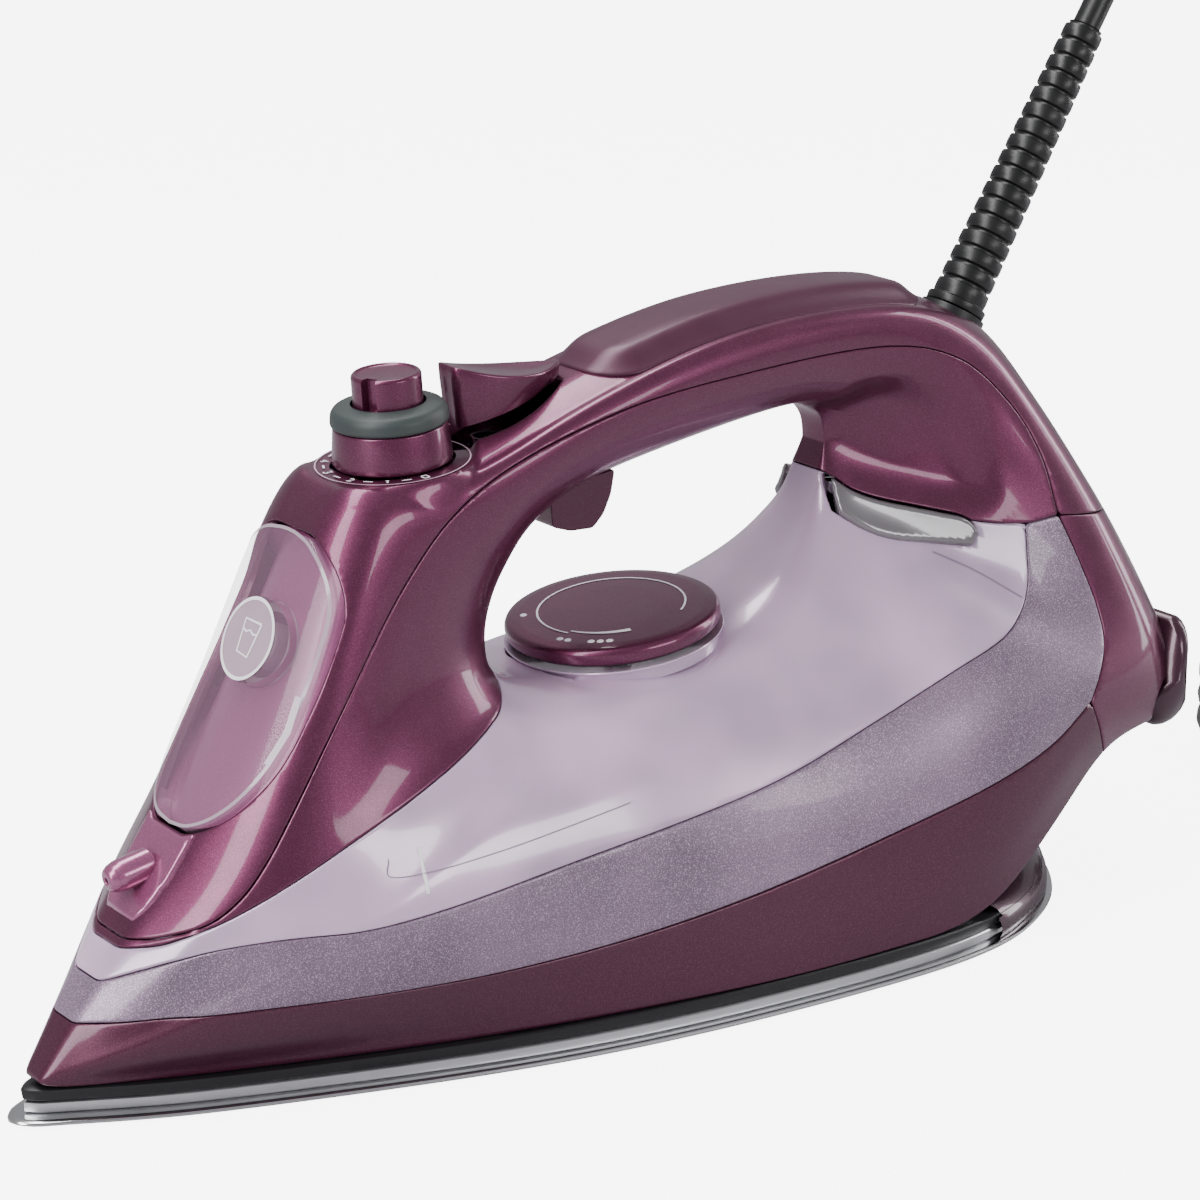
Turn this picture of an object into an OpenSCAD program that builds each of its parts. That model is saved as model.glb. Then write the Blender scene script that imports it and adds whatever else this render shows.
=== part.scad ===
/* [Shells] */
// Wall of the moulded shells
wall = 2.4; // [1.8:0.2:3]
// Gap left at each side of a parting line
seam = 0.17; // [0.1:0.01:0.2]
// Steps around the body in the shell surface
shell_steps = 72; // [48:4:96]
// Steps across the body in the shell surface
shell_rows = 12; // [8:1:16]

/* [Soleplate] */
// Thickness of the polished soleplate
sole_t = 1.8; // [1.4:0.1:2.4]
// Height of the cast heating block above the soleplate
block_h = 10; // [8:1:12]
// Radius of a steam hole
steam_hole_r = 1.3; // [0.9:0.1:1.6]

/* [Temperature dial] */
// Radius of the dial
dial_r = 25.4; // [22:0.2:27]
// Thickness of the dial
dial_t = 5.2; // [4:0.2:5.4]
// Tilt of the dial, rear edge up
dial_tilt = 7; // [7:1:8]
// Radius of the dial's shaft
shaft_r = 3; // [2.5:0.1:3.4]

/* [Steam knob] */
// Tilt of the knob, rear edge up
knob_tilt = 4; // [3:1:5]
// Radius at the foot of the knob
knob_r = 13.4; // [12.5:0.1:13.6]
// Radius of the rubber ring
ring_r = 13.1; // [12.6:0.1:13.3]
// Radius of the cap
cap_r = 7.8; // [7.4:0.1:8]

/* [Cord] */
// Diameter of the cord
cord_d = 7; // [6:0.5:7]
// Turns in the stored coil
coil_turns = 6; // [5:1:7]

/* [Hidden] */
$fn = 48;

plum = [0.42, 0.16, 0.30];
dark_plum = [0.30, 0.10, 0.21];
rose = [0.66, 0.40, 0.55];
lilac = [0.80, 0.72, 0.80];
band_grey = [0.58, 0.50, 0.58];
black = [0.07, 0.07, 0.08];
steel = [0.75, 0.75, 0.77];
cast = [0.62, 0.62, 0.64];
smoke = [0.45, 0.42, 0.46];
rubber_grey = [0.25, 0.27, 0.27];
brass = [0.75, 0.62, 0.32];

// ---- smooth curves through control points ----

// Catmull-Rom value between b and c
function blend(a, b, c, d, u) = 0.5 * (2 * b + (c - a) * u
    + (2 * a - 5 * b + 4 * c - d) * u * u + (3 * b - a - 3 * c + d) * u * u * u);

// open curve through points, n steps in each span
function open_curve(p, n) = [
    for (i = [0 : len(p) - 2], k = [0 : n - 1])
        blend(i > 0 ? p[i - 1] : 2 * p[0] - p[1], p[i], p[i + 1],
              i < len(p) - 2 ? p[i + 2] : 2 * p[i + 1] - p[i], k / n),
    p[len(p) - 1]
];
function back_to_front(p) = [for (i = [len(p) - 1 : -1 : 0]) p[i]];
function mirrored(p) = [for (q = back_to_front(p)) [q[0], -q[1]]];

// ---- outer surface: one lofted ring of sections around the finger hole ----
// Each section runs from the rim of the hole outward. Its row holds the inner end (x, z),
// the outer end (x, z), and half widths at nine steps between them.
SECTIONS = [
    [  5,  78.8,    5,   8,  8, 25, 35, 42, 47, 50, 51.5, 52, 52],
    [ 24,  81,     40,   8,  8, 24, 35, 43, 49, 52.5, 54.5, 55, 55],
    [ 40,  86,     74,  10,  6, 21, 33, 43, 50, 53.5, 55, 55, 55],
    [ 51,  93,    100,  24,  5, 16, 26, 38, 48, 52, 52.5, 51, 50],
    [ 58, 101,    124,  39,  4, 12, 20, 31, 43, 48, 48, 46, 44],
    [ 61, 107,    152,  41,  4, 10, 17, 27, 39, 43.5, 43, 40, 37],
    [ 62, 113,    156,  56,  4, 9, 15, 24, 34, 38.5, 38.5, 35, 30],
    [ 62, 119,    147,  83,  4, 8, 13, 20, 28, 33, 32, 25, 14],
    [ 61, 123.5,  135, 105,  4, 8, 12, 17, 23, 28, 27, 19, 8],
    [ 57, 127.5,  123, 124,  4, 8, 12, 15.5, 19.5, 23, 22, 15, 6],
    [ 49, 129,    107, 143,  4, 8, 12.5, 15.5, 18, 20, 18.5, 12, 4],
    [ 34, 127.5,   80, 154.5, 4, 8.5, 12.5, 15.5, 17.5, 18.5, 17, 9.5, 3],
    [ 11, 124,     30, 155,  4, 8.5, 12.5, 15.5, 17.5, 18, 15.5, 9, 3],
    [-10, 120,    -12, 145.5, 4, 8.5, 12.5, 15.5, 17.5, 18, 15.5, 9, 3],
    [-24, 113.5,  -42, 135,  4, 8.5, 13, 16, 18, 18.5, 16.5, 10, 3],
    [-31, 105,    -63, 131.5, 4, 9, 13.5, 17, 19, 19.5, 17.5, 12, 5],
    [-35,  97,    -78, 129,  4, 9, 14, 17.5, 20, 20.5, 19, 14, 7],
    [-37,  90,    -97,  91,  4, 10, 15, 19, 22, 24, 22.5, 15, 6],
    [-37,  83,   -115,  60,  5, 13, 20, 25, 28, 28, 23.5, 14, 5],
    [-33,  79,   -133,  37,  6, 18, 27, 32, 33, 29.5, 22, 11, 4],
    [-26,  77,   -149,  14,  8, 22, 31, 36.5, 36, 28, 17, 7.5, 2.5],
    [-19,  76.8, -149,   8,  8, 24, 33, 39, 38.5, 31, 19.5, 8.5, 4],
    [-12,  77.2, -110,   8,  8, 25, 34, 40.5, 43, 40, 32, 24, 21],
    [ -4,  78,    -50,   8,  8, 26, 35, 41.5, 45.5, 46, 44, 42, 41],
];
count = len(SECTIONS);
spans = 8;

// section at s, where whole numbers are the rows above
function section_at(s) = let (i = floor(s), u = s - i)
    blend(SECTIONS[(i + count - 1) % count], SECTIONS[i % count],
          SECTIONS[(i + 1) % count], SECTIONS[(i + 2) % count], u);

// half width of a section at t, from 0 at the hole to 1 at the outer end
function width_at(c, t) = let (k = min(floor(t * spans), spans - 1), w = [for (j = [4 : 12]) c[j]])
    blend(k > 0 ? w[k - 1] : 2 * w[0] - w[1], w[k], w[k + 1],
          k < spans - 1 ? w[k + 2] : 2 * w[spans] - w[spans - 1], t * spans - k);

// point of the surface moved inward by d, on the +Y side
function shell_point(c, t, d) =
    let (reach = norm([c[2] - c[0], c[3] - c[1]]),
         r = d / reach + (1 - 2 * d / reach) * (1 - cos(180 * t)) / 2)
    [c[0] + (c[2] - c[0]) * r, max(width_at(c, t) - d, 0.4), c[1] + (c[3] - c[1]) * r];

// solid inside the surface, moved inward by d
module body_form(d = 0) {
    rows = 2 * (shell_rows + 1);
    points = [
        for (i = [0 : shell_steps - 1])
            let (c = section_at(i * count / shell_steps),
                 half = [for (j = [0 : shell_rows]) shell_point(c, j / shell_rows, d)])
                concat(half, [for (p = back_to_front(half)) [p[0], -p[1], p[2]]])
    ];
    flat = [for (ring = points, p = ring) p];
    faces = [
        for (i = [0 : shell_steps - 1], j = [0 : rows - 1])
            let (a = i * rows + j, b = i * rows + (j + 1) % rows,
                 e = ((i + 1) % shell_steps) * rows + j,
                 f = ((i + 1) % shell_steps) * rows + (j + 1) % rows)
                each [[a, b, e], [b, f, e]]
    ];
    polyhedron(flat, faces);
}

// a prism through the whole width, from an outline in x and z
module across(outline, half = 90) {
    rotate([90, 0, 0]) linear_extrude(2 * half, center = true) polygon(outline);
}

// the region between two curves in x and z, less half a seam all round
module region(outline, half = 90) {
    rotate([90, 0, 0]) linear_extrude(2 * half, center = true) offset(delta = -seam) polygon(outline);
}

// a moulded wall of the body, inside the given region
module shell_piece(outline, out = 0, thick = wall) {
    resize([0, 0, 0]) intersection() {
        difference() {
            body_form(-out);
            body_form(thick - out);
        }
        region(outline);
    }
}

// ---- parting lines, as curves in x and z ----
SKIRT_TOP = open_curve([[-170, 18], [-143, 22], [-114, 25], [-54, 24.5], [0, 28.5], [55, 37],
    [80, 41.5], [100, 46.5], [114.5, 53]], 3);
BAND_TOP = open_curve([[-170, 18], [-141, 29], [-118, 38.5], [-83, 41], [-44, 46], [12, 52],
    [49, 61], [75, 68], [95, 74], [104, 81], [107, 95.5]], 3);
TANK_FRONT = open_curve([[-170, 28], [-133, 37], [-121, 42], [-88, 59], [-53, 73], [-41, 78],
    [-33, 86]], 3);
TANK_REAR = open_curve([[50, 118], [63, 110], [70, 104.5], [83, 100.5], [95, 97], [107, 95.5],
    [116, 96.5]], 3);
SPINE_LINE = open_curve([[-170, 30], [-133, 38.5], [-125, 41], [-116, 46], [-106, 57], [-87, 85],
    [-67, 111], [-46, 127], [-8, 138.5], [30, 142], [70, 142.5], [92, 137], [106, 125], [113, 112],
    [116, 96.5]], 3);
BAND_REAR = open_curve([[116, 96.5], [120, 86], [123.5, 74], [123, 64], [114.5, 53]], 3);
HEEL_SPLIT = [[114.5, 53], [119, 43], [126, 28]];
SPINE_END = [[116, 96.5], [165, 90]];

SKIRT = concat(SKIRT_TOP, HEEL_SPLIT, [[126, 7.9], [-170, 7.9]]);
BAND = concat(BAND_TOP, BAND_REAR, back_to_front(SKIRT_TOP));
TANK = concat(TANK_FRONT, [for (p = TANK_REAR) if (p[0] <= 107) p], back_to_front(BAND_TOP));
VESSEL = concat(TANK_FRONT, TANK_REAR, BAND_REAR, back_to_front(SKIRT_TOP));
INNER = concat(SPINE_LINE, back_to_front(TANK_REAR), back_to_front(TANK_FRONT));
SPINE = concat(SPINE_LINE, SPINE_END, [[165, 180], [-170, 180]]);
HEEL = concat(BAND_REAR, HEEL_SPLIT, [[165, 28], [165, 90]]);
LENS_TOP = [[65, 108.6], [71, 104.4], [82, 101.2], [92.4, 98.9]];
lens_h = 6.2;

// ---- frames of the turning and pressing parts ----
dial_centre = [3.7, 0, 86.2];
knob_top = [-57.8, 0, 151.9];
knob_h = 20.4;
stem_r = 2;
run_gap = 0.06;
door_tilt = 25.8;
door_mid = [-99, 0, 91];
cord_dir = [cos(58), 0, sin(58)];
cord_exit = [110, 0, 145];
trigger_axis = [-22, 0, 121];

module at_dial() { translate(dial_centre) rotate([0, -dial_tilt, 0]) children(); }
module at_knob() { translate(knob_top) rotate([0, -knob_tilt, 0]) children(); }
module at_door() { translate(door_mid) rotate([0, door_tilt - 90, 0]) children(); }
module at_cord() { translate(cord_exit) rotate([0, 32, 0]) children(); }
module tube(r_out, r_in, h) {
    difference() {
        cylinder(r = r_out, h = h);
        translate([0, 0, -1]) cylinder(r = r_in, h = h + 2);
    }
}
module along_y(p, r, length) {
    translate(p) rotate([90, 0, 0]) cylinder(r = r, h = length, center = true);
}

// ---- heated base ----
HALF_PLAN = [[-158, 0], [-156, 3.6], [-149.5, 7.8], [-118.7, 22.5], [-58.9, 42.6], [-10.6, 52.9],
    [45, 58.1], [78, 56.6], [100, 48], [115, 36], [126, 19], [128.5, 0]];
function plan(inset) = let (half = open_curve(HALF_PLAN, 4),
        k = 1 - inset / 143, moved = [for (p = half) [p[0] * k, max(p[1] - inset, 0)]])
    concat([for (p = moved) if (p[1] > 0) p], mirrored([for (p = moved) if (p[1] > 0) p]));
module plate(inset, z0, z1) {
    translate([0, 0, z0]) linear_extrude(z1 - z0) polygon(plan(inset));
}

block_top = sole_t + block_h;
cover_t = 5;
screw_at = [[-60, 22], [-60, -22], [60, 38], [60, -38]];

module steam_holes() {
    for (side = [-1, 1], k = [0 : 8])
        translate([-122 + 12 * k, side * (11 + 3.6 * k - 0.12 * k * k), -1]) cylinder(r = steam_hole_r, h = 4);
    for (side = [-1, 1], k = [0 : 4])
        translate([-90 + 14 * k, side * (4 + 3.4 * k), -1]) cylinder(r = steam_hole_r, h = 4);
    for (k = [0 : 2]) translate([-136 + 12 * k, 0, -1]) cylinder(r = steam_hole_r, h = 4);
}
module soleplate() {
    color(steel) difference() {
        union() {
            plate(0.6, 0, 0.5);
            plate(0, 0.5, sole_t);
        }
        steam_holes();
    }
}
module element_path(r) {
    for (side = [-1, 1]) translate([-36, side * 24, block_top]) rotate([0, 90, 0]) cylinder(r = r, h = 96);
    translate([-36, 0, block_top]) intersection() {
        rotate_extrude() translate([24, 0]) circle(r);
        translate([-60, -60, -20]) cube([60, 120, 40]);
    }
}
module heating_block() {
    color(cast) difference() {
        union() {
            plate(2.6, sole_t, 5.8);
            plate(10, 5.8, block_top);
        }
        element_path(3.7);
        for (p = screw_at) translate([p[0], p[1], 4]) cylinder(r = 2.2, h = 20);
    }
}
module heating_element() {
    color(steel) {
        element_path(3.4);
        for (side = [-1, 1]) translate([56, side * 24, block_top]) cylinder(r = 1.6, h = 14);
    }
}
module steam_chamber_cover() {
    color(steel) difference() {
        plate(13, block_top, block_top + cover_t);
        plate(15, block_top - 1, block_top + cover_t - 1.4);
        translate([68, -90, 10]) cube([80, 180, 12]);
        for (side = [-1, 1]) {
            translate([56, side * 24, 10]) cylinder(r = 2.4, h = 12);
            translate([56, side * 24 - 4, 10]) cube([30, 8, 6.1]);
        }
        for (p = screw_at) translate([p[0], p[1], 10]) cylinder(r = 2.2, h = 12);
    }
}
module screws() {
    color(steel) for (p = screw_at) translate([p[0], p[1], 0]) {
        translate([0, 0, 5]) cylinder(r = 2.1, h = block_top + cover_t - 5);
        translate([0, 0, block_top + cover_t]) cylinder(r = 3.8, h = 2.2);
    }
}
module heat_shield() {
    color(black) difference() {
        plate(2.2, 6, 7.8);
        plate(9.6, 5, 9);
    }
}
module thermostat() {
    color(brass) {
        translate([12.4, 0, block_top + cover_t]) cylinder(r = 10, h = 2);
        translate([12.4, 0, block_top + cover_t + 2]) cylinder(r = 7, h = 4);
    }
}
module thermal_fuse() {
    color(black) translate([44, 0, block_top + cover_t + 3.2]) rotate([90, 0, 0])
        cylinder(r = 3.2, h = 24, center = true);
}

// ---- body shells ----
module base_room() {
    intersection() {
        plate(6.4, 0, 12);
        translate([-200, -90, 0]) cube([290, 180, 12]);
    }
}
module base_skirt() {
    color(dark_plum) resize([0, 0, 0]) difference() {
        shell_piece(SKIRT);
        base_room();
    }
}
module tank_band() { color(band_grey) shell_piece(BAND); }
module dial_room(r, low) { at_dial() translate([0, 0, -low]) cylinder(r = r, h = low + 20); }
module water_tank() {
    color(lilac) resize([0, 0, 0]) difference() {
        shell_piece(TANK);
        dial_room(26.4, 7.1);
        dial_room(6, 30);
        lens_band(0.3);
    }
}
module tank_liner() {
    color(lilac, 0.8) resize([0, 0, 0]) difference() {
        intersection() {
            body_form(wall + 0.3);
            rotate([90, 0, 0]) linear_extrude(180, center = true) difference() {
                offset(delta = -0.6) polygon(VESSEL);
                offset(delta = -2.4) polygon(VESSEL);
            }
        }
        dial_room(6, 70);
        at_knob() translate([0, 0, -140]) cylinder(r = 5.4, h = 130);
    }
}
module lens_band(gap) {
    across([
        for (p = LENS_TOP) [p[0], p[1] + gap],
        [94.2 + gap, 95], [93 + gap, 92.4 - gap],
        for (p = back_to_front(LENS_TOP)) if (p[0] < 90) [p[0] - gap, p[1] - lens_h - gap]
    ]);
}
module indicator_lens() {
    color(smoke) resize([0, 0, 0]) difference() {
        intersection() {
            body_form(-1.4);
            lens_band(0);
        }
        body_form(1.4);
    }
}
module trigger_slot() { translate([-25.4, -7.6, 100]) cube([29, 15.2, 30]); }
module inner_shell() {
    color(plum) resize([0, 0, 0]) difference() {
        shell_piece(INNER);
        lens_band(0.3);
        trigger_slot();
    }
}

// front outline of the filler door, in local x (up the slope) and y
module door_shape(grow) {
    translate([-4, 0]) square([58 + 2 * grow, 26 + 2 * grow], center = true);
    translate([2, 0]) square([44 + 2 * grow, 38 + 2 * grow], center = true);
    for (side = [-1, 1]) {
        translate([24, side * 10]) circle(9 + grow);
        translate([-22, side * 5]) circle(11 + grow);
    }
}
module door_prism(grow, low, high) {
    at_door() translate([0, 0, low]) linear_extrude(high - low) door_shape(grow);
}
module button_plan(grow) {
    intersection() {
        translate([-28.5, 16, 0]) circle(23.8 + grow);
        translate([-28.5, -16, 0]) circle(23.8 + grow);
        difference() {
            square(120, center = true);
            translate([-56.5, 0]) circle(knob_r + 1.2 - grow);
        }
    }
}
module cord_room(r) { at_cord() translate([0, 0, -16]) cylinder(r = r, h = 60); }
module spine_shell() {
    color(plum) resize([0, 0, 0]) difference() {
        shell_piece(SPINE);
        door_prism(0.5, -14, 20);
        at_knob() translate([0, 0, -knob_h - 12]) cylinder(r = 7, h = 40);
        at_knob() translate([0, 0, -knob_h - 0.6]) cylinder(r = knob_r + 1, h = 30);
        translate([0, 0, 110]) linear_extrude(60) button_plan(0.5);
        cord_room(8.8);
        nozzle_axis() cylinder(r = 4.2, h = 30, center = true);
    }
}
module heel_cover() {
    color(plum) resize([0, 0, 0]) difference() {
        shell_piece(HEEL);
        along_y([150, 0, 43], 7.6, 92);
    }
}
module heel_foot() {
    color(dark_plum) {
        along_y([150, 0, 43], 7, 72);
        for (side = [-1, 1]) translate([150, side * 36, 43]) sphere(7);
    }
}
module handle_pad() {
    color(dark_plum) resize([0, 0, 0]) intersection() {
        difference() {
            body_form(-2.5);
            body_form(-0.2);
        }
        translate([0, 0, 135]) linear_extrude(40) {
            translate([2, -13]) square([72, 26]);
            translate([2, 0]) circle(13);
            translate([74, 0]) circle(13);
        }
    }
}
module nozzle_axis() { translate([-121, 0, 52]) rotate([0, -100, 0]) children(); }
module nozzle_pad() {
    color(rose) resize([0, 0, 0]) difference() {
        intersection() {
            body_form(-1.4);
            translate([-150, 0, 49]) rotate([0, 90, 0]) linear_extrude(60) union() {
                circle(8);
                translate([-6, 0]) square([9, 16], center = true);
            }
        }
        body_form(-0.2);
        nozzle_axis() cylinder(r = 4.2, h = 40, center = true);
    }
}
module spray_nozzle() {
    color(rose) nozzle_axis() difference() {
        cylinder(r = 3.6, h = 11);
        translate([0, 0, 8]) cylinder(r = 0.8, h = 4);
    }
}

// ---- filler ----
port_x = 8;
module filler_recess() {
    color(rose) at_door() difference() {
        union() {
            translate([0, 0, -17]) linear_extrude(6) door_shape(-2);
            translate([port_x, 0, -13]) cylinder(r = 10, h = 3.5);
        }
        translate([0, 0, -15.4]) linear_extrude(6) difference() {
            door_shape(-3.6);
            translate([port_x, 0]) circle(10);
        }
        translate([port_x, 0, -20]) cylinder(r = 7.4, h = 20);
    }
}
module filler_door() {
    color(smoke) resize([0, 0, 0]) difference() {
        intersection() {
            body_form(-0.9);
            door_prism(0, -14, 20);
        }
        body_form(1.3);
    }
}
module door_plug() {
    color(rose) resize([0, 0, 0]) intersection() {
        at_door() difference() {
            translate([port_x, 0, -12]) cylinder(r = 5.6, h = 14);
            translate([port_x, 0, -13]) cylinder(r = 4, h = 6);
        }
        body_form(1.35);
    }
}

// ---- temperature control ----
module temperature_dial() {
    color(plum) at_dial() difference() {
        rotate_extrude($fn = 96) polygon([[0, -dial_t], [dial_r - 1.6, -dial_t], [dial_r, -dial_t + 1.4],
            [dial_r, -1.4], [dial_r - 0.8, -0.5], [dial_r - 2, -0.2], [0, 0.4]]);
        translate([0, 0, -dial_t - 1]) cylinder(r = shaft_r, h = 4.2);
    }
}
module dial_shaft() {
    color(steel) at_dial() translate([0, 0, -61]) cylinder(r = shaft_r, h = 61 - dial_t + 3.2);
}
module dial_seat() {
    color(lilac) at_dial() {
        translate([0, 0, -6.9]) tube(26, shaft_r + run_gap, 1.4);
        translate([0, 0, -20]) tube(5.4, shaft_r + run_gap, 13.2);
    }
}

// ---- steam control ----
module knob_base() {
    color(plum) at_knob() difference() {
        rotate_extrude($fn = 72) polygon([[0, -knob_h + 0.2], [knob_r, -knob_h + 0.2], [knob_r, -knob_h + 1.4],
            [knob_r - 0.7, -11.5], [0, -11.5]]);
        translate([0, 0, -14]) cylinder(r = 4.1, h = 12);
        translate([0, 0, -knob_h - 1]) cylinder(r = stem_r, h = 6);
    }
}
module knob_grip() {
    color(rubber_grey) at_knob() difference() {
        rotate_extrude($fn = 72) polygon([[8.4, -11.4], [ring_r, -11.4], [ring_r, -8.8], [ring_r - 1, -7.6],
            [8.9, -6.8], [8.4, -6.8]]);
        for (a = [0 : 15 : 345]) rotate([0, 0, a]) translate([ring_r + 0.5, 0, -10.8]) cylinder(r = 0.8, h = 6);
    }
}
module knob_cap() {
    color(plum) at_knob() difference() {
        union() {
            translate([0, 0, -11.2]) cylinder(r = cap_r, h = 11.2);
            translate([0, 0, -13.8]) cylinder(r = 4.04, h = 4);
        }
        rotate([0, 0, 205]) translate([cap_r - 1.9, -1.4, -6.6]) cube([4, 2.8, 8]);
    }
}
module valve_stem() {
    color(steel) at_knob() translate([0, 0, -132]) cylinder(r = stem_r, h = 132 - knob_h + 5);
}
module valve_seat() {
    color(brass) at_knob() translate([0, 0, -134.4]) difference() {
        cylinder(r = 5, h = 9);
        translate([0, 0, 1.6]) cylinder(r = stem_r + run_gap, h = 9);
    }
}

// ---- spray button and steam trigger ----
module spray_button() {
    color(plum) intersection() {
        translate([0, 0, 100]) linear_extrude(70) button_plan(0);
        across([[-46, 130], [-11, 141], [-11, 150], [-17, 150.6], [-26, 151.2], [-33, 152.4], [-40, 153.4],
            [-46, 150]], 20);
    }
}
module spray_pump() { color(black) translate([-31, 0, 118]) cylinder(r = 4.6, h = 8); }
module spray_spring() { color(steel) translate([-31, 0, 126.2]) tube(4, 3.2, 7); }
module steam_trigger() {
    color(dark_plum) difference() {
        union() {
            across([[-18.6, 118], [-17.5, 108.6], [-5, 107], [0, 116], [1, 123.5], [-18.6, 123.5]], 6.9);
            along_y(trigger_axis, 3, 13.8);
            across([[-22, 118.4], [-17, 118.4], [-17, 123.5], [-22, 123.9]], 6.9);
        }
        along_y(trigger_axis, 1.26, 20);
    }
}
module trigger_pin() { color(steel) along_y(trigger_axis, 1.2, 17.4); }
module boost_pump() { color(black) translate([-6, 0, 132]) cylinder(r = 4.6, h = 8); }
module boost_spring() { color(steel) translate([-6, 0, 123.8]) tube(3.4, 2.7, 8); }

// ---- wiring ----
module terminal_block() {
    color([0.85, 0.84, 0.8]) translate([127, -13, 62]) difference() {
        cube([12, 26, 10]);
        for (y = [5, 13, 21]) translate([6, y, 4]) cylinder(r = 2.2, h = 8);
    }
}
module indicator_lamp() { color([0.9, 0.35, 0.2]) along_y([86, 0, 108], 2.6, 18); }
module wires() {
    color(brass) for (side = [-1, 0, 1]) translate([133, side * 8, 73]) rotate([0, -27.6, 0])
        cylinder(r = 1.2, h = 62);
}

// ---- cord ----
module cord_bushing() { color(black) at_cord() translate([0, 0, -14]) tube(8.2, 3.6, 11); }
guard_l = 75;
guard_ribs = 17;
module cord_guard() {
    color(black) at_cord() difference() {
        rotate_extrude() polygon(concat(
            [[0, -2.6], [7.6, -2.6], [7.6, -0.4]],
            [for (k = [0 : guard_ribs - 1], q = [[0, 0.6], [0, 3], [-0.9, 3.2], [-0.9, 4]])
                [6.7 - 1.9 * k / guard_ribs + q[0], k * guard_l / guard_ribs + q[1]]],
            [[0, guard_l]]));
        translate([0, 0, -4]) cylinder(r = cord_d / 2 + 0.1, h = guard_l + 8);
    }
}
// route of the loose stretch, chosen by hand: out of the guard, over and down to the coil
CORD_ROUTE = [[105, 0, 137], [110, 0, 145], [120, 0, 161], [130, 0, 177], [140, 0, 193], [150, 0, 209],
    [159.5, -1, 224], [171, -5, 238], [186, -14, 247], [202, -27, 247.5], [215, -40, 240],
    [225, -51, 224], [229, -57, 201], [231, -60, 172], [231, -61.5, 142], [230, -62, 112],
    [229, -62, 82], [227, -61, 56], [225.5, -56, 33], [224.5, -47, 17], [224, -38, 9.5]];
coil_at = [262, -6, 0];
coil_mid_r = 38.5;
sides = 10;
cord_path = open_curve(CORD_ROUTE, 3);
function unit(v) = v / norm(v);
function heading(i) = unit(cord_path[min(i + 1, len(cord_path) - 1)] - cord_path[max(i - 1, 0)]);
function ring_at(i) = let (h = heading(i), a = unit(cross(h, [0.3, 1, 0.1])), b = cross(h, a))
    [for (k = [0 : sides - 1]) cord_path[i] + cord_d / 2 * (cos(360 * k / sides) * a + sin(360 * k / sides) * b)];
module cord() {
    n = len(cord_path);
    color(black) polyhedron(
        [for (i = [0 : n - 1], p = ring_at(i)) p],
        concat(
            [[for (k = [0 : sides - 1]) k]],
            [for (i = [0 : n - 2], k = [0 : sides - 1]) let (m = (k + 1) % sides, a = i * sides)
                each [[a + k, a + sides + k, a + m], [a + m, a + sides + k, a + sides + m]]],
            [[for (k = [sides - 1 : -1 : 0]) (n - 1) * sides + k]]));
}
module cord_coil() {
    layers = ceil(coil_turns / 2);
    color(black) translate(coil_at) translate([0, 0, 0.3]) rotate_extrude()
        translate([coil_mid_r - cord_d, 0]) square([2 * cord_d, layers * cord_d]);
}
module coil_tie() {
    color([0.2, 0.2, 0.2]) translate(coil_at + [coil_mid_r, 0, 0.2]) rotate([90, 0, 0])
        linear_extrude(8, center = true) difference() {
            translate([-cord_d - 1.4, 0]) square([2 * cord_d + 2.8, 3 * cord_d + 1.6]);
            translate([-cord_d - 0.2, -1]) square([2 * cord_d + 0.4, 3 * cord_d + 1.3]);
        }
}
plug_r = 18;
pin_r = 2.4;
pin_l = 19;
module at_plug() { translate([300, 22, 3 * cord_d + 0.6 + plug_r]) rotate([0, -90, 0]) rotate([0, 0, 90]) children(); }
module plug_body() {
    color(black) at_plug() difference() {
        rotate_extrude() polygon([[0, 0], [plug_r, 0], [plug_r, 9], [15, 12], [13, 24], [9, 31], [6, 36],
            [5.2, 50], [0, 50]]);
        for (side = [-1, 1]) translate([side * 9.5, 0, -1]) cylinder(r = pin_r - 0.4, h = 13);
        translate([0, 0, 38]) cylinder(r = cord_d / 2, h = 20);
    }
}
module plug_pins() {
    color(steel) at_plug() for (side = [-1, 1]) translate([side * 9.5, 0, 0]) {
        translate([0, 0, -pin_l]) cylinder(r = pin_r, h = pin_l - 0.2);
        translate([0, 0, -1]) cylinder(r = pin_r - 0.4, h = 13);
    }
}

soleplate();
heating_block();
heating_element();
steam_chamber_cover();
heat_shield();
base_skirt();
tank_band();
water_tank();
tank_liner();
inner_shell();
spine_shell();
heel_cover();
heel_foot();
handle_pad();
indicator_lens();
dial_seat();
nozzle_pad();
spray_nozzle();
filler_recess();
filler_door();
door_plug();
temperature_dial();
dial_shaft();
thermostat();
knob_base();
knob_grip();
knob_cap();
valve_stem();
valve_seat();
spray_button();
spray_pump();
spray_spring();
steam_trigger();
trigger_pin();
boost_pump();
boost_spring();
terminal_block();
thermal_fuse();
indicator_lamp();
screws();
wires();
cord_bushing();
cord_guard();
cord();
cord_coil();
coil_tie();
plug_body();
plug_pins();
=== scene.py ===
import functools
import math

import bmesh
import bpy
import numpy as np
from mathutils import Matrix, Vector
from mathutils.bvhtree import BVHTree

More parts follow.
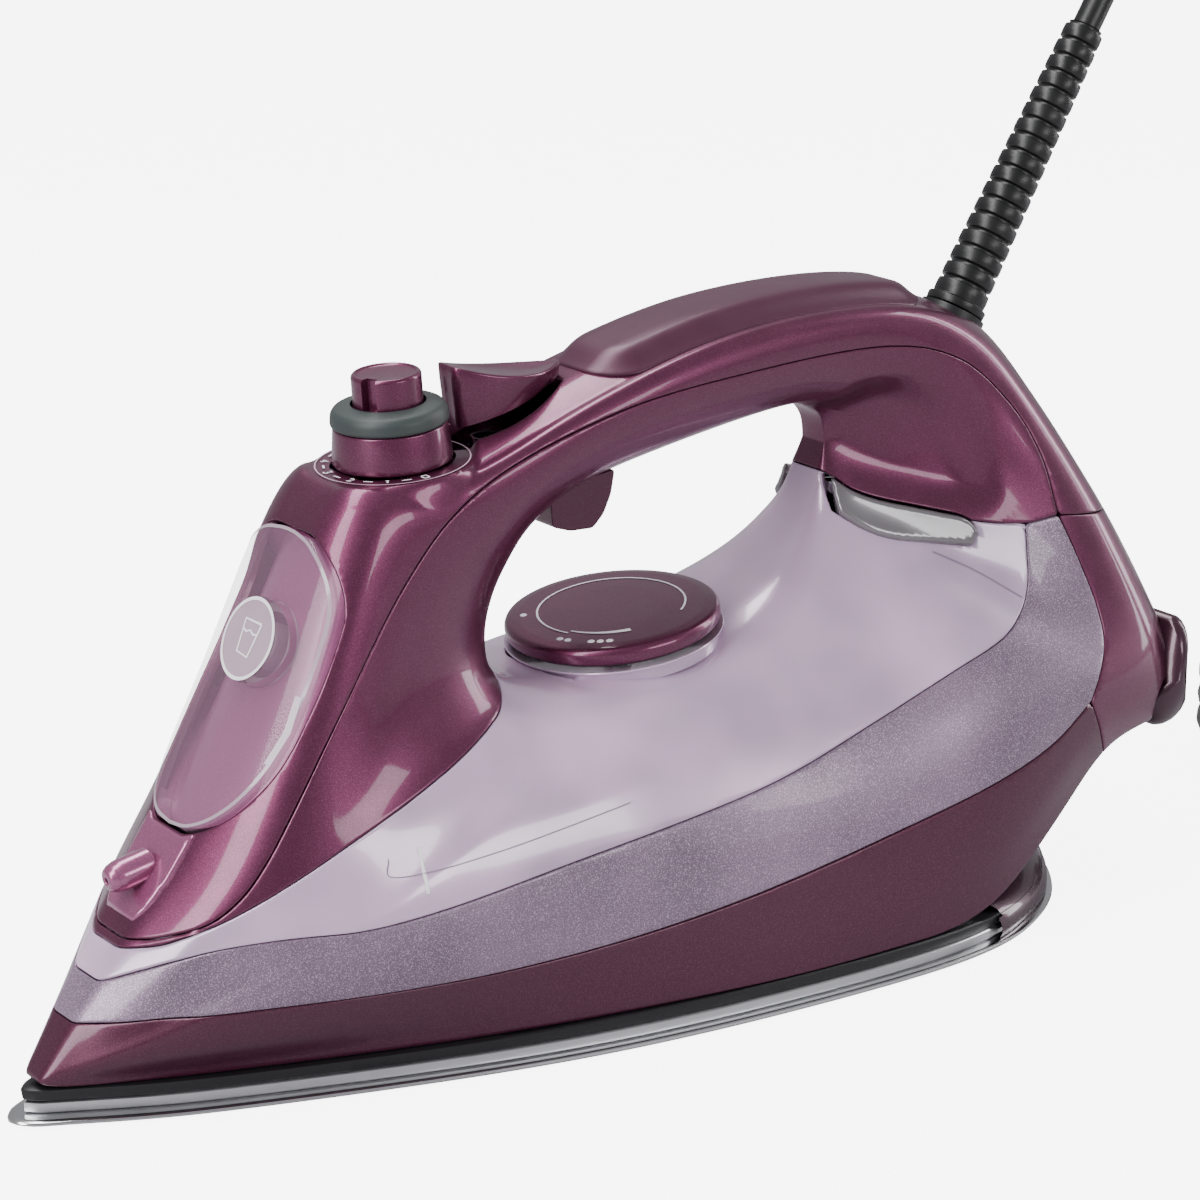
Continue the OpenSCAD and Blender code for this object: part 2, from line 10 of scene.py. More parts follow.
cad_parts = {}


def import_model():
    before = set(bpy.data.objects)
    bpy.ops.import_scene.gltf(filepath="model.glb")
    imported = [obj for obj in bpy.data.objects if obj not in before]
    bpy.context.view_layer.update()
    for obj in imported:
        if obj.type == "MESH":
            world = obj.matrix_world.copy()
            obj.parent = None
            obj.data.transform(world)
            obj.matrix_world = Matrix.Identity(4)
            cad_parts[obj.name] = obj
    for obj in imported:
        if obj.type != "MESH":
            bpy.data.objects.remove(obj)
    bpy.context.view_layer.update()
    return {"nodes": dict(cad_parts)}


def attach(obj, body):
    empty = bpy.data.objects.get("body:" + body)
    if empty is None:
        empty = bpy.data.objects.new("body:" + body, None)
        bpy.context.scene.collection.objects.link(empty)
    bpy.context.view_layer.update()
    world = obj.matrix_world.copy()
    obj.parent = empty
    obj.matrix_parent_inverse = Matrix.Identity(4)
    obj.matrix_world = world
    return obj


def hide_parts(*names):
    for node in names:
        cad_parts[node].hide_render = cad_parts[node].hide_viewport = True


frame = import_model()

MM = 0.001


# ---------------- camera and light

def look_at(obj, target):
    """Turns obj so that its -Z axis points at target."""
    away = obj.location - Vector(target)
    obj.rotation_euler = away.to_track_quat("Z", "Y").to_euler()


def make_camera():
    data = bpy.data.cameras.new("camera")
    data.lens = 106.3
    data.sensor_width = 36
    camera = bpy.data.objects.new("camera", data)
    bpy.context.scene.collection.objects.link(camera)
    camera.location = (-0.4685, -0.6305, 0.3383)
    look_at(camera, (0.00042, 0, 0.0885))
    bpy.context.scene.camera = camera


def area_light(name, place, target, width, height, power):
    """A rectangular light at place, facing target, with its size in metres and its power in watts."""
    data = bpy.data.lights.new(name, "AREA")
    data.shape = "RECTANGLE"
    data.size, data.size_y, data.energy = width, height, power
    lamp = bpy.data.objects.new(name, data)
    bpy.context.scene.collection.objects.link(lamp)
    lamp.location = place
    look_at(lamp, target)


def make_lights():
    area_light("key_left", (-1.2, -0.25, 0.75), (0, 0, 0.08), 0.45, 1.2, 20)
    area_light("top_strip", (-0.15, 0.25, 1.1), (0, 0, 0.1), 1.4, 0.35, 17)
    area_light("front_fill", (0.35, -1.4, 0.5), (0.02, 0, 0.08), 0.8, 0.35, 7)
    area_light("right_rim", (1.05, -0.25, 0.45), (0.05, 0, 0.08), 0.25, 0.9, 7)


# Strengths of the world as the camera sees it, of the world as a light, and of the floor's glow.
WORLD_SEEN, WORLD_LIGHT, FLOOR_GLOW = 7.0, 0.45, 6.6


def make_world():
    """A soft studio that lights the iron gently and looks white where the camera sees it."""
    world = bpy.data.worlds.new("studio")
    world.use_nodes = True
    nodes, links = world.node_tree.nodes, world.node_tree.links
    seen = nodes["Background"]
    seen.inputs["Color"].default_value = (1, 1, 1, 1)
    seen.inputs["Strength"].default_value = WORLD_SEEN
    around = nodes.new("ShaderNodeBackground")
    around.inputs["Color"].default_value = (0.93, 0.93, 0.97, 1)
    around.inputs["Strength"].default_value = WORLD_LIGHT
    path = nodes.new("ShaderNodeLightPath")
    mix = nodes.new("ShaderNodeMixShader")
    links.new(path.outputs["Is Camera Ray"], mix.inputs[0])
    links.new(around.outputs[0], mix.inputs[1])
    links.new(seen.outputs[0], mix.inputs[2])
    links.new(mix.outputs[0], nodes["World Output"].inputs["Surface"])
    bpy.context.scene.world = world


# ---------------- materials

def material(name, colour, rough, metal=0.0, coat=0.0, coat_rough=0.06, flake=0.0, flake_size=0.25,
             grain=0.0, grain_size=0.3, shade=None, alpha=1.0, subsurface=0.0, lift=0.08):
    """A moulded, metal or rubber finish. flake is how much fine sparkle the colour has and grain the depth
    of the bump in millimetres. shade is the colour that broad soft patches drift towards, and without one
    they are darker than colour by the share lift. The sizes are in millimetres."""
    mat = bpy.data.materials.new(name)
    mat.use_nodes = True
    nodes, links = mat.node_tree.nodes, mat.node_tree.links
    bsdf = nodes["Principled BSDF"]
    sockets = {"Metallic": metal, "Coat Weight": coat, "Coat Roughness": coat_rough, "IOR": 1.45,
               "Alpha": alpha, "Subsurface Weight": subsurface, "Subsurface Scale": 0.004}
    for socket, value in sockets.items():
        bsdf.inputs[socket].default_value = value
    place = nodes.new("ShaderNodeTexCoord")

    def noise(size_mm, detail):
        tex = nodes.new("ShaderNodeTexNoise")
        tex.inputs["Scale"].default_value = 1000 / size_mm
        tex.inputs["Detail"].default_value = detail
        links.new(place.outputs["Object"], tex.inputs["Vector"])
        return tex.outputs["Fac"]

    def ramp(source, low, high, a, b):
        node = nodes.new("ShaderNodeValToRGB")
        node.color_ramp.elements[0].position = low
        node.color_ramp.elements[1].position = high
        node.color_ramp.elements[0].color = (*a, 1)
        node.color_ramp.elements[1].color = (*b, 1)
        links.new(source, node.inputs["Fac"])
        return node.outputs["Color"]

    other = shade or tuple(c * (1 - lift) for c in colour)
    base = ramp(noise(38, 2), 0.3, 0.7, other, colour)
    if flake:
        bright = tuple(min(1, c * (1 + flake) + flake * 0.05) for c in colour)
        sparkle = ramp(noise(flake_size, 1), 0.52, 0.68, (0, 0, 0), (1, 1, 1))
        mix = nodes.new("ShaderNodeMix")
        mix.data_type = "RGBA"
        links.new(sparkle, mix.inputs["Factor"])
        links.new(base, mix.inputs["A"])
        mix.inputs["B"].default_value = (*bright, 1)
        base = mix.outputs["Result"]
    links.new(base, bsdf.inputs["Base Color"])
    spread = ramp(noise(9, 3), 0.3, 0.7, (rough * 0.88,) * 3, (rough * 1.12,) * 3)
    links.new(spread, bsdf.inputs["Roughness"])
    if grain:
        bump = nodes.new("ShaderNodeBump")
        bump.inputs["Strength"].default_value = 0.5
        bump.inputs["Distance"].default_value = grain * MM
        links.new(noise(grain_size, 2), bump.inputs["Height"])
        links.new(bump.outputs["Normal"], bsdf.inputs["Normal"])
    return mat


def make_materials():
    kinds = {
        "plum": dict(colour=(0.110, 0.018, 0.057), rough=0.35, metal=0.75, coat=0.5, flake=0.4,
                     flake_size=0.2, shade=(0.100, 0.019, 0.053)),
        "dark_plum": dict(colour=(0.064, 0.009, 0.030), rough=0.34, metal=0.55, coat=0.4, flake=0.4,
                          flake_size=0.2),
        "soft_plum": dict(colour=(0.066, 0.015, 0.038), rough=0.40, metal=0.35, coat=0.2, coat_rough=0.3,
                          grain=0.03, grain_size=0.35),
        "rose": dict(colour=(0.30, 0.085, 0.185), rough=0.25, metal=0.6, coat=0.8, flake=0.3),
        "recess": dict(colour=(0.30, 0.075, 0.19), rough=0.35, metal=0.3, coat=0.6, flake=0.2),
        "tank": dict(colour=(0.66, 0.46, 0.65), rough=0.22, metal=0.15, coat=0.8, subsurface=0.1,
                     shade=(0.38, 0.285, 0.40)),
        "band": dict(colour=(0.22, 0.15, 0.22), rough=0.38, metal=0.45, coat=0.35, flake=0.7,
                     flake_size=0.28, shade=(0.118, 0.084, 0.121)),
        "steel": dict(colour=(0.62, 0.62, 0.63), rough=0.17, metal=1.0, grain=0.004, grain_size=0.4),
        "cast": dict(colour=(0.58, 0.58, 0.60), rough=0.34, metal=1.0, grain=0.05, grain_size=0.5),
        "tail": dict(colour=(0.050, 0.016, 0.030), rough=0.28, metal=0.5, coat=0.5),
        "brass": dict(colour=(0.70, 0.55, 0.25), rough=0.25, metal=1.0, grain=0.004),
        "black": dict(colour=(0.007, 0.007, 0.008), rough=0.4, grain=0.03, grain_size=0.3, lift=0.3),
        "rubber": dict(colour=(0.006, 0.0062, 0.0066), rough=0.36, grain=0.03, grain_size=0.4, lift=0.3),
        "grey_rubber": dict(colour=(0.030, 0.038, 0.037), rough=0.5, grain=0.04, grain_size=0.35, lift=0.2),
        "smoke": dict(colour=(0.20, 0.185, 0.20), rough=0.24, metal=0.4, coat=1.0, lift=0.3),
        "clear": dict(colour=(0.30, 0.17, 0.25), rough=0.12, alpha=0.34, coat=0.4, lift=0.05),
        "clear_edge": dict(colour=(0.42, 0.34, 0.40), rough=0.15, alpha=0.8, coat=0.6),
        "clear_disc": dict(colour=(0.60, 0.44, 0.54), rough=0.12, alpha=0.62, coat=1.0),
        "print": dict(colour=(0.86, 0.82, 0.86), rough=0.35),
        "print_pink": dict(colour=(0.62, 0.42, 0.54), rough=0.35, metal=0.3),
        "tank_line": dict(colour=(0.22, 0.16, 0.235), rough=0.4),
        "white_plastic": dict(colour=(0.72, 0.71, 0.67), rough=0.4, grain=0.02),
        "lamp": dict(colour=(0.85, 0.25, 0.12), rough=0.15, coat=1.0),
        "floor": dict(colour=(0.45, 0.44, 0.46), rough=0.7, lift=0.01),
    }
    return {name: material(name, **facts) for name, facts in kinds.items()}


# ---------------- the body's outer surface

# One row for each section round the finger hole: inner end (x, z), outer end (x, z), and half widths
# at nine steps between them, in millimetres, as the shells' CAD form has them.
SECTIONS = np.array([
    [5, 78.8, 5, 8, 8, 25, 35, 42, 47, 50, 51.5, 52, 52],
    [24, 81, 40, 8, 8, 24, 35, 43, 49, 52.5, 54.5, 55, 55],
    [40, 86, 74, 10, 6, 21, 33, 43, 50, 53.5, 55, 55, 55],
    [51, 93, 100, 24, 5, 16, 26, 38, 48, 52, 52.5, 51, 50],
    [58, 101, 124, 39, 4, 12, 20, 31, 43, 48, 48, 46, 44],
    [61, 107, 152, 41, 4, 10, 17, 27, 39, 43.5, 43, 40, 37],
    [62, 113, 156, 56, 4, 9, 15, 24, 34, 38.5, 38.5, 35, 30],
    [62, 119, 147, 83, 4, 8, 13, 20, 28, 33, 32, 25, 14],
    [61, 123.5, 135, 105, 4, 8, 12, 17, 23, 28, 27, 19, 8],
    [57, 127.5, 123, 124, 4, 8, 12, 15.5, 19.5, 23, 22, 15, 6],
    [49, 129, 107, 143, 4, 8, 12.5, 15.5, 18, 20, 18.5, 12, 4],
    [34, 127.5, 80, 154.5, 4, 8.5, 12.5, 15.5, 17.5, 18.5, 17, 9.5, 3],
    [11, 124, 30, 155, 4, 8.5, 12.5, 15.5, 17.5, 18, 15.5, 9, 3],
    [-10, 120, -12, 145.5, 4, 8.5, 12.5, 15.5, 17.5, 18, 15.5, 9, 3],
    [-24, 113.5, -42, 135, 4, 8.5, 13, 16, 18, 18.5, 16.5, 10, 3],
    [-31, 105, -63, 131.5, 4, 9, 13.5, 17, 19, 19.5, 17.5, 12, 5],
    [-35, 97, -78, 129, 4, 9, 14, 17.5, 20, 20.5, 19, 14, 7],
    [-37, 90, -97, 91, 4, 10, 15, 19, 22, 24, 22.5, 15, 6],
    [-37, 83, -115, 60, 5, 13, 20, 25, 28, 28, 23.5, 14, 5],
    [-33, 79, -133, 37, 6, 18, 27, 32, 33, 29.5, 22, 11, 4],
    [-26, 77, -149, 14, 8, 22, 31, 36.5, 36, 28, 17, 7.5, 2.5],
    [-19, 76.8, -149, 8, 8, 24, 33, 39, 38.5, 31, 19.5, 8.5, 4],
    [-12, 77.2, -110, 8, 8, 25, 34, 40.5, 43, 40, 32, 24, 21],
    [-4, 78, -50, 8, 8, 26, 35, 41.5, 45.5, 46, 44, 42, 41],
], float)


def blend(a, b, c, d, u):
    """Catmull-Rom value between b and c."""
    return 0.5 * (2 * b + (c - a) * u + (2 * a - 5 * b + 4 * c - d) * u * u
                  + (3 * b - a - 3 * c + d) * u * u * u)


def smooth_curve(points, steps):
    """An open curve through the points."""
    p = np.array(points, float)
    p = np.vstack([2 * p[0] - p[1], p, 2 * p[-1] - p[-2]])
    u = np.arange(steps)[:, None] / steps
    parts = [blend(p[i - 1], p[i], p[i + 1], p[i + 2], u) for i in range(1, len(p) - 2)]
    return np.vstack(parts + [p[-2:-1]])


AROUND, ACROSS = 560, 72     # points round the finger hole, and steps from its rim to the outer edge
WAVES_KEPT = 16              # waves round the body that the smoothing keeps


def body_grid(out):
    """Points of the body's surface on the +Y side, moved outward by out, as AROUND x (ACROSS + 1) x 3."""
    count = len(SECTIONS)
    s = np.arange(AROUND) * count / AROUND
    i = s.astype(int)
    rows = blend(SECTIONS[i - 1], SECTIONS[i], SECTIONS[(i + 1) % count], SECTIONS[(i + 2) % count],
                 (s - i)[:, None])
    soft = np.fft.fft(rows, axis=0)
    turns = np.fft.fftfreq(AROUND, 1 / AROUND)[:, None]
    rows = np.fft.ifft(soft * np.exp(-0.5 * (turns / WAVES_KEPT) ** 2), axis=0).real
    ends, widths = rows[:, :4], rows[:, 4:]
    padded = np.hstack([2 * widths[:, :1] - widths[:, 1:2], widths,
                        2 * widths[:, -1:] - widths[:, -2:-1]])
    grid = np.zeros((AROUND, ACROSS + 1, 3))
    reach = np.hypot(ends[:, 2] - ends[:, 0], ends[:, 3] - ends[:, 1])
    for j in range(ACROSS + 1):
        t = j / ACROSS
        k = min(int(t * 8), 7)
        width = blend(*(padded[:, k + n] for n in range(4)), t * 8 - k)
        r = -out / reach + (1 + 2 * out / reach) * (1 - math.cos(math.pi * t)) / 2
        grid[:, j, 0] = ends[:, 0] + (ends[:, 2] - ends[:, 0]) * r
        grid[:, j, 1] = np.maximum(width + out, 0.3)
        grid[:, j, 2] = ends[:, 1] + (ends[:, 3] - ends[:, 1]) * r
    return grid


@functools.cache
def body_mesh(out):
    """Vertices, quads and outward normals of the whole body's surface, moved outward by out."""
    half = body_grid(out)
    grid = np.concatenate([half, half[:, ::-1] * (1, -1, 1)], axis=1)
    wide = grid.shape[1]
    i, j = np.meshgrid(np.arange(AROUND), np.arange(wide), indexing="ij")
    nxt, side = (i + 1) % AROUND, (j + 1) % wide
    quads = np.stack([i * wide + j, i * wide + side, nxt * wide + side, nxt * wide + j], -1)
    along = np.roll(grid, -1, 0) - np.roll(grid, 1, 0)
    over = np.roll(grid, -1, 1) - np.roll(grid, 1, 1)
    normal = np.cross(along, over)
    normal /= np.linalg.norm(normal, axis=-1, keepdims=True) + 1e-12
    return grid.reshape(-1, 3), quads.reshape(-1, 4), normal.reshape(-1, 3)


# ---------------- distance fields for the parting lines

def outline_field(outline):
    """Signed distance to a closed outline in x and z, positive inside."""
    a = np.array(outline, float)
    b = np.roll(a, -1, 0)

    def field(p):
        q = p[:, [0, 2]]
        best = np.full(len(q), 1e9)
        inside = np.zeros(len(q), bool)
        for start, end in zip(a, b):
            edge = end - start
            length = edge @ edge
            if length < 1e-12:
                continue
            t = np.clip((q - start) @ edge / length, 0, 1)
            best = np.minimum(best, ((q - start - t[:, None] * edge) ** 2).sum(1))
            crossing = (start[1] > q[:, 1]) != (end[1] > q[:, 1])
            with np.errstate(divide="ignore", invalid="ignore"):
                at = start[0] + (q[:, 1] - start[1]) / (end[1] - start[1]) * edge[0]
            inside ^= crossing & (q[:, 0] < at)
        return np.sqrt(best) * np.where(inside, 1, -1)
    return field


def tilted(centre, tilt, axes=(0, 1)):
    """Gives local coordinates of points, in a frame at centre that is turned about Y by tilt degrees."""
    turn = np.array(Matrix.Rotation(math.radians(tilt), 3, "Y"))

    def local(p):
        return ((p - np.array(centre)) @ turn)[:, list(axes)]
    return local


def round_box(local, mid, half, radius):
    """Signed distance to a rounded rectangle in a local plane, positive inside."""
    def field(p):
        q = np.abs(local(p) - np.array(mid)) - np.array(half) + radius
        past = np.hypot(*np.maximum(q, 0).T)
        return radius - past - np.minimum(q.max(1), 0)
    return field


def disc(local, mid, radius):
    """Signed distance to a circle in a local plane, positive inside."""
    return lambda p: radius - np.hypot(*(local(p) - np.array(mid)).T)


def every(*fields):
    """Positive where all the fields are."""
    return lambda p: np.min([f(p) for f in fields], axis=0)


def either(*fields):
    """Positive where any of the fields is."""
    return lambda p: np.max([f(p) for f in fields], axis=0)


def outside(field):
    return lambda p: -field(p)


# ---------------- cutting panels out of the surface

def split(verts, normals, faces, values, level):
    """Cuts the faces along values == level. Returns the parts with an upper and a lower list of faces."""
    verts, normals, values = list(verts), list(normals), list(values)
    made, upper, lower = {}, [], []

    def cut(a, b):
        key = (min(a, b), max(a, b))
        if key not in made:
            t = (level - values[a]) / (values[b] - values[a])
            made[key] = len(verts)
            verts.append(verts[a] * (1 - t) + verts[b] * t)
            normal = normals[a] * (1 - t) + normals[b] * t
            normals.append(normal / (np.linalg.norm(normal) + 1e-12))
            values.append(level)
        return made[key]

    for face in faces:
        signs = [values[v] >= level for v in face]
        if all(signs):
            upper.append(face)
            continue
        if not any(signs):
            lower.append(face)
            continue
        high, low = [], []
        for k, a in enumerate(face):
            b = face[(k + 1) % len(face)]
            (high if signs[k] else low).append(a)
            if signs[k] != signs[(k + 1) % len(face)]:
                c = cut(a, b)
                high.append(c)
                low.append(c)
        if len(high) > 2:
            upper.append(high)
        if len(low) > 2:
            lower.append(low)
    return verts, normals, upper, lower, values


def nudge(values, level, reach=0.05):
    """Values close to the level are set on it, so that cuts leave no slivers."""
    return np.where(np.abs(values - level) < reach, level, values)


def cut_out(out, field, gap, steps):
    """The body's surface where field is over gap, cut again at each step over that."""
    verts, quads, normals = body_mesh(out)
    values = field(verts)
    faces = [list(q) for q in quads[(values[quads] >= gap).any(1)]]
    values = nudge(values, gap)
    verts, normals, faces, _, values = split(verts, normals, faces, values, gap)
    for step_up in steps:
        verts, normals, high, low, values = split(verts, normals, faces, values, gap + step_up)
        faces = high + low
    used = sorted({v for face in faces for v in face})
    index = {v: n for n, v in enumerate(used)}
    faces = [[index[v] for v in face] for face in faces]
    return (*(np.array([part[v] for v in used]) for part in (verts, normals, values)), faces)


def open_edges(faces):
    """The edges that only one face has, each in that face's direction."""
    border = {}
    for face in faces:
        for k, a in enumerate(face):
            b = face[(k + 1) % len(face)]
            if (b, a) in border:
                del border[(b, a)]
            else:
                border[(a, b)] = True
    return border


def panel(name, field, out=0.0, gap=0.08, edge=0.4, wall=2.2, finish=None, dish=None, shape=None):
    """A moulded panel: the part of the body's surface where field is over gap, with rounded edges and
    walls turned inward. dish sinks the surface by a depth at each point, and shape moves its points."""
    verts, normals, values, faces = cut_out(out, field, gap, (0.12 * edge, 0.4 * edge, 1.0 * edge))
    inset = np.clip(values - gap, 0, edge)
    drop = edge - np.sqrt(np.maximum(edge ** 2 - (edge - inset) ** 2, 0))
    if dish is not None:
        drop = drop + dish(verts)
    verts = verts - normals * drop[:, None]
    if shape is not None:
        verts = shape(verts)
    rim, walls, feet = {}, [], []
    for a, b in open_edges(faces):
        for v in (a, b):
            if v not in rim:
                rim[v] = len(verts) + len(feet)
                feet.append(verts[v] - normals[v] * wall)
        walls.append([b, a, rim[a], rim[b]])
    return mesh_object(name, np.vstack([verts, feet]) * MM, faces + walls, finish, smooth=40)


def mesh_object(name, verts, faces, finish, smooth=None):
    """A mesh object from points in metres, with a finish from looks. Edges are smooth up to the angle
    smooth, in degrees."""
    mesh = bpy.data.meshes.new(name)
    mesh.from_pydata([tuple(v) for v in verts], [], [list(map(int, f)) for f in faces])
    mesh.validate()
    obj = bpy.data.objects.new(name, mesh)
    bpy.context.scene.collection.objects.link(obj)
    if smooth:
        smooth_mesh(mesh, smooth)
    mesh.materials.append(looks[finish])
    return obj


def smooth_mesh(mesh, angle):
    mesh.shade_smooth()
    mesh.set_sharp_from_angle(angle=math.radians(angle))


def settle(obj, slot, *stands_for, body="housing"):
    """Puts a piece on its body and hides the CAD nodes it stands for. slot, the record's material slot, is
    not used.
    """
    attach(obj, body)
    if stands_for:
        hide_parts(*stands_for)


# ---------------- parting lines, in x and z

def backwards(points):
    return points[::-1]


SKIRT_TOP = smooth_curve([[-170, 18], [-143, 22], [-114, 25], [-54, 24.5], [0, 28.5], [55, 37],
                          [80, 41.5], [100, 46.5], [114.5, 53]], 10)
BAND_TOP = smooth_curve([[-170, 18], [-141, 29], [-118, 38.5], [-83, 41], [-44, 46], [12, 52],
                         [49, 61], [75, 68], [95, 74], [104, 81], [107, 95.5]], 10)
TANK_FRONT = smooth_curve([[-170, 28], [-133, 37], [-121, 42], [-88, 59], [-53, 73], [-41, 78],
                           [-33, 86]], 10)
TANK_REAR = smooth_curve([[50, 118], [63, 110], [70, 104.5], [83, 100.5], [95, 97], [107, 95.5],
                          [116, 96.5]], 10)
SPINE_LINE = smooth_curve([[-170, 30], [-133, 38.5], [-125, 41], [-116, 46], [-106, 57], [-87, 85],
                           [-67, 111], [-46, 127], [-8, 138.5], [30, 142], [70, 142.5], [92, 137],
                           [106, 125], [113, 112], [116, 96.5]], 10)
BAND_REAR = smooth_curve([[116, 96.5], [120, 86], [123.5, 74], [123, 64], [114.5, 53]], 10)
HEEL_SPLIT = np.array([[114.5, 53], [119, 43], [126, 28]], float)

SKIRT = outline_field(np.vstack([SKIRT_TOP, HEEL_SPLIT, [[126, 7.9], [-170, 7.9]]]))
BAND = outline_field(np.vstack([BAND_TOP, BAND_REAR, backwards(SKIRT_TOP)]))
TANK = outline_field(np.vstack([TANK_FRONT, TANK_REAR[TANK_REAR[:, 0] <= 107.01], backwards(BAND_TOP)]))
INNER = outline_field(np.vstack([SPINE_LINE, backwards(TANK_REAR), backwards(TANK_FRONT)]))
SPINE = outline_field(np.vstack([SPINE_LINE, [[165, 90], [165, 180], [-170, 180]]]))
HEEL = outline_field(np.vstack([BAND_REAR, HEEL_SPLIT, [[165, 28], [165, 90]]]))


def lens_outline(grow):
    """Inside of the indicator lens, a bar that curves down along the rear post's foot."""
    top = smooth_curve([[62.4, 109.8], [67, 106.4], [73, 103.8], [82, 101.2], [91.5, 98.6]], 5)
    low = smooth_curve([[92.5, 91.8], [82, 93.6], [73, 95.6], [67, 98.4], [62.4, 102]], 5)
    flat = outline_field(np.vstack([top, [[94, 96.5], [94.4, 94.5]], low]))
    return lambda p: flat(p) + grow


# ---------------- places and outlines of the fitted parts

# Each place is a centre in millimetres and a tilt about Y in degrees. Its local Z is the part's own axis.
DIAL = ((3.7, 0, 86.2), -7)
KNOB = ((-57.8, 0, 151.9), -4)
DOOR = ((-99, 0, 91), -64.2)
CORD = ((110, 0, 145), 32)
NOZZLE = ((-121, 0, 52), -100)
door_plane = tilted(*DOOR)
plan = tilted((0, 0, 0), 0)


def frame_of(centre, tilt):
    """Places local millimetres in the shared frame in metres."""
    return (Matrix.Scale(MM, 4) @ Matrix.Translation(centre)
            @ Matrix.Rotation(math.radians(tilt), 4, "Y"))


AT_DIAL, AT_KNOB, AT_DOOR = frame_of(*DIAL), frame_of(*KNOB), frame_of(*DOOR)
AT_PLAN = frame_of((0, 0, 0), 0)


DOOR_EDGE = smooth_curve([(-36, 0), (-35, 6.5), (-31.5, 12), (-25, 16.5), (-15, 19.8), (-2, 20.8),
                          (11, 20.6), (21, 19.6), (28, 16), (32.5, 10), (34, 4), (34.3, 0)], 8)


def mirrored(half):
    """A half outline closed with its own mirror image."""
    return np.vstack([half, half[::-1][1:-1] * (1, -1)])


def door_field(grow=0.0):
    """Inside of the filler door's outline, which is the same on both sides."""
    flat = outline_field(mirrored(DOOR_EDGE))

    def field(p):
        local = door_plane(p)
        return flat(np.column_stack([local[:, 0], local[:, 0] * 0, local[:, 1]])) + grow
    return field


def step(t):
    """Soft step from 0 to 1."""
    t = np.clip(t, 0, 1)
    return t * t * (3 - 2 * t)


DECK_EDGE = smooth_curve([(-78, 0), (-76, 8), (-70, 14.5), (-58, 17.5), (-34, 17), (-12, 16.6), (17, 16),
                          (45, 15.4), (75, 15.4), (95, 15), (106, 11), (111, 5), (112, 0)], 8)


def deck_field(grow=0.0):
    """Inside of the ridge that runs round the knob and along both sides of the handle's top."""
    flat = outline_field(mirrored(DECK_EDGE))
    return lambda p: np.where(p[:, 2] > 118, flat(p[:, [0, 2, 1]]) + grow, -5)


def deck_dish(p):
    """Depth of the deck inside its ridge."""
    return 1.3 * step(deck_field()(p) / 3.2)


SCALE_RING = 19.6        # radius of the flat ring round the knob
SCALE_Z = -20.6          # its height along the knob's axis


def knob_seat(p):
    """Draws the deck round the steam knob into the flat ring that carries the knob's scale."""
    centre, tilt = KNOB
    turn = np.array(Matrix.Rotation(math.radians(tilt), 3, "Y"))
    local = (p - np.array(centre)) @ turn
    r = np.hypot(local[:, 0], local[:, 1])
    share = step((SCALE_RING - r) / 2.2) * step((local[:, 2] + 30) / 5)
    local[:, 2] += (SCALE_Z - local[:, 2]) * share
    return local @ turn.T + np.array(centre)


POST_HOLLOW = smooth_curve([(58, 127), (66, 133), (78, 134), (88, 129), (96, 119), (100, 109), (100, 102),
                            (92, 99), (80, 102), (68, 107), (58, 115)], 6)


def post_dish(p):
    """Hollow in the rear post above the lens."""
    inside = outline_field(POST_HOLLOW)(p)
    return np.where(p[:, 0] > 57, 3.4 * step((inside + 3) / 12), 0)


def before(x):
    """Positive in front of x."""
    return lambda p: x - p[:, 0]


def above(z):
    """Positive over the height z."""
    return lambda p: p[:, 2] - z


def button_field(grow=0.0):
    """Inside of the spray button's boat shape in plan, hollowed in front to clear the knob."""
    return every(disc(plan, (-28.5, 16), 23.8 + grow), disc(plan, (-28.5, -16), 23.8 + grow),
                 outside(disc(plan, (-56.5, 0), 14.6 - grow)))


# ---------------- turned, extruded and ringed shapes

def rounded(profile, radius, steps=4, closed=False):
    """The polyline with every corner rounded by up to radius."""
    pts = [Vector(p) for p in profile]
    out = []
    count = len(pts)
    for n, p in enumerate(pts):
        if not closed and n in (0, count - 1):
            out.append(tuple(p))
            continue
        a, b = pts[n - 1], pts[(n + 1) % count]
        reach = min(radius, (a - p).length * 0.45, (b - p).length * 0.45)
        start, end = p + (a - p).normalized() * reach, p + (b - p).normalized() * reach
        for k in range(steps + 1):
            t = k / steps
            out.append(tuple(start * (1 - t) ** 2 + p * (2 * t * (1 - t)) + end * t * t))
    return out


def turned(name, profile, where, finish, sides=96, shape=None):
    """A profile of (radius, height) turned about local Z. shape(angle, radius, height) may change it."""
    verts, faces = [], []
    rows = len(profile)
    for k in range(sides):
        angle = 2 * math.pi * k / sides
        for r, h in profile:
            rr, hh = shape(angle, r, h) if shape else (r, h)
            verts.append(where @ Vector((rr * math.cos(angle), rr * math.sin(angle), hh)))
    for k in range(sides):
        for j in range(rows - 1):
            a, b = k * rows + j, ((k + 1) % sides) * rows + j
            faces.append((a, b, b + 1, a + 1))
    obj = mesh_object(name, verts, faces, finish)
    weld(obj)
    smooth_mesh(obj.data, 35)
    return obj


def weld(obj):
    mesh = bmesh.new()
    mesh.from_mesh(obj.data)
    bmesh.ops.remove_doubles(mesh, verts=mesh.verts, dist=2e-6)
    bmesh.ops.recalc_face_normals(mesh, faces=mesh.faces)
    mesh.to_mesh(obj.data)
    mesh.free()


def hoops(rings, size, closed=False):
    """Faces between neighbouring rings of size points each."""
    return [(i * size + k, i * size + (k + 1) % size, (i + 1) % rings * size + (k + 1) % size,
             (i + 1) % rings * size + k)
            for i in range(rings if closed else rings - 1) for k in range(size)]


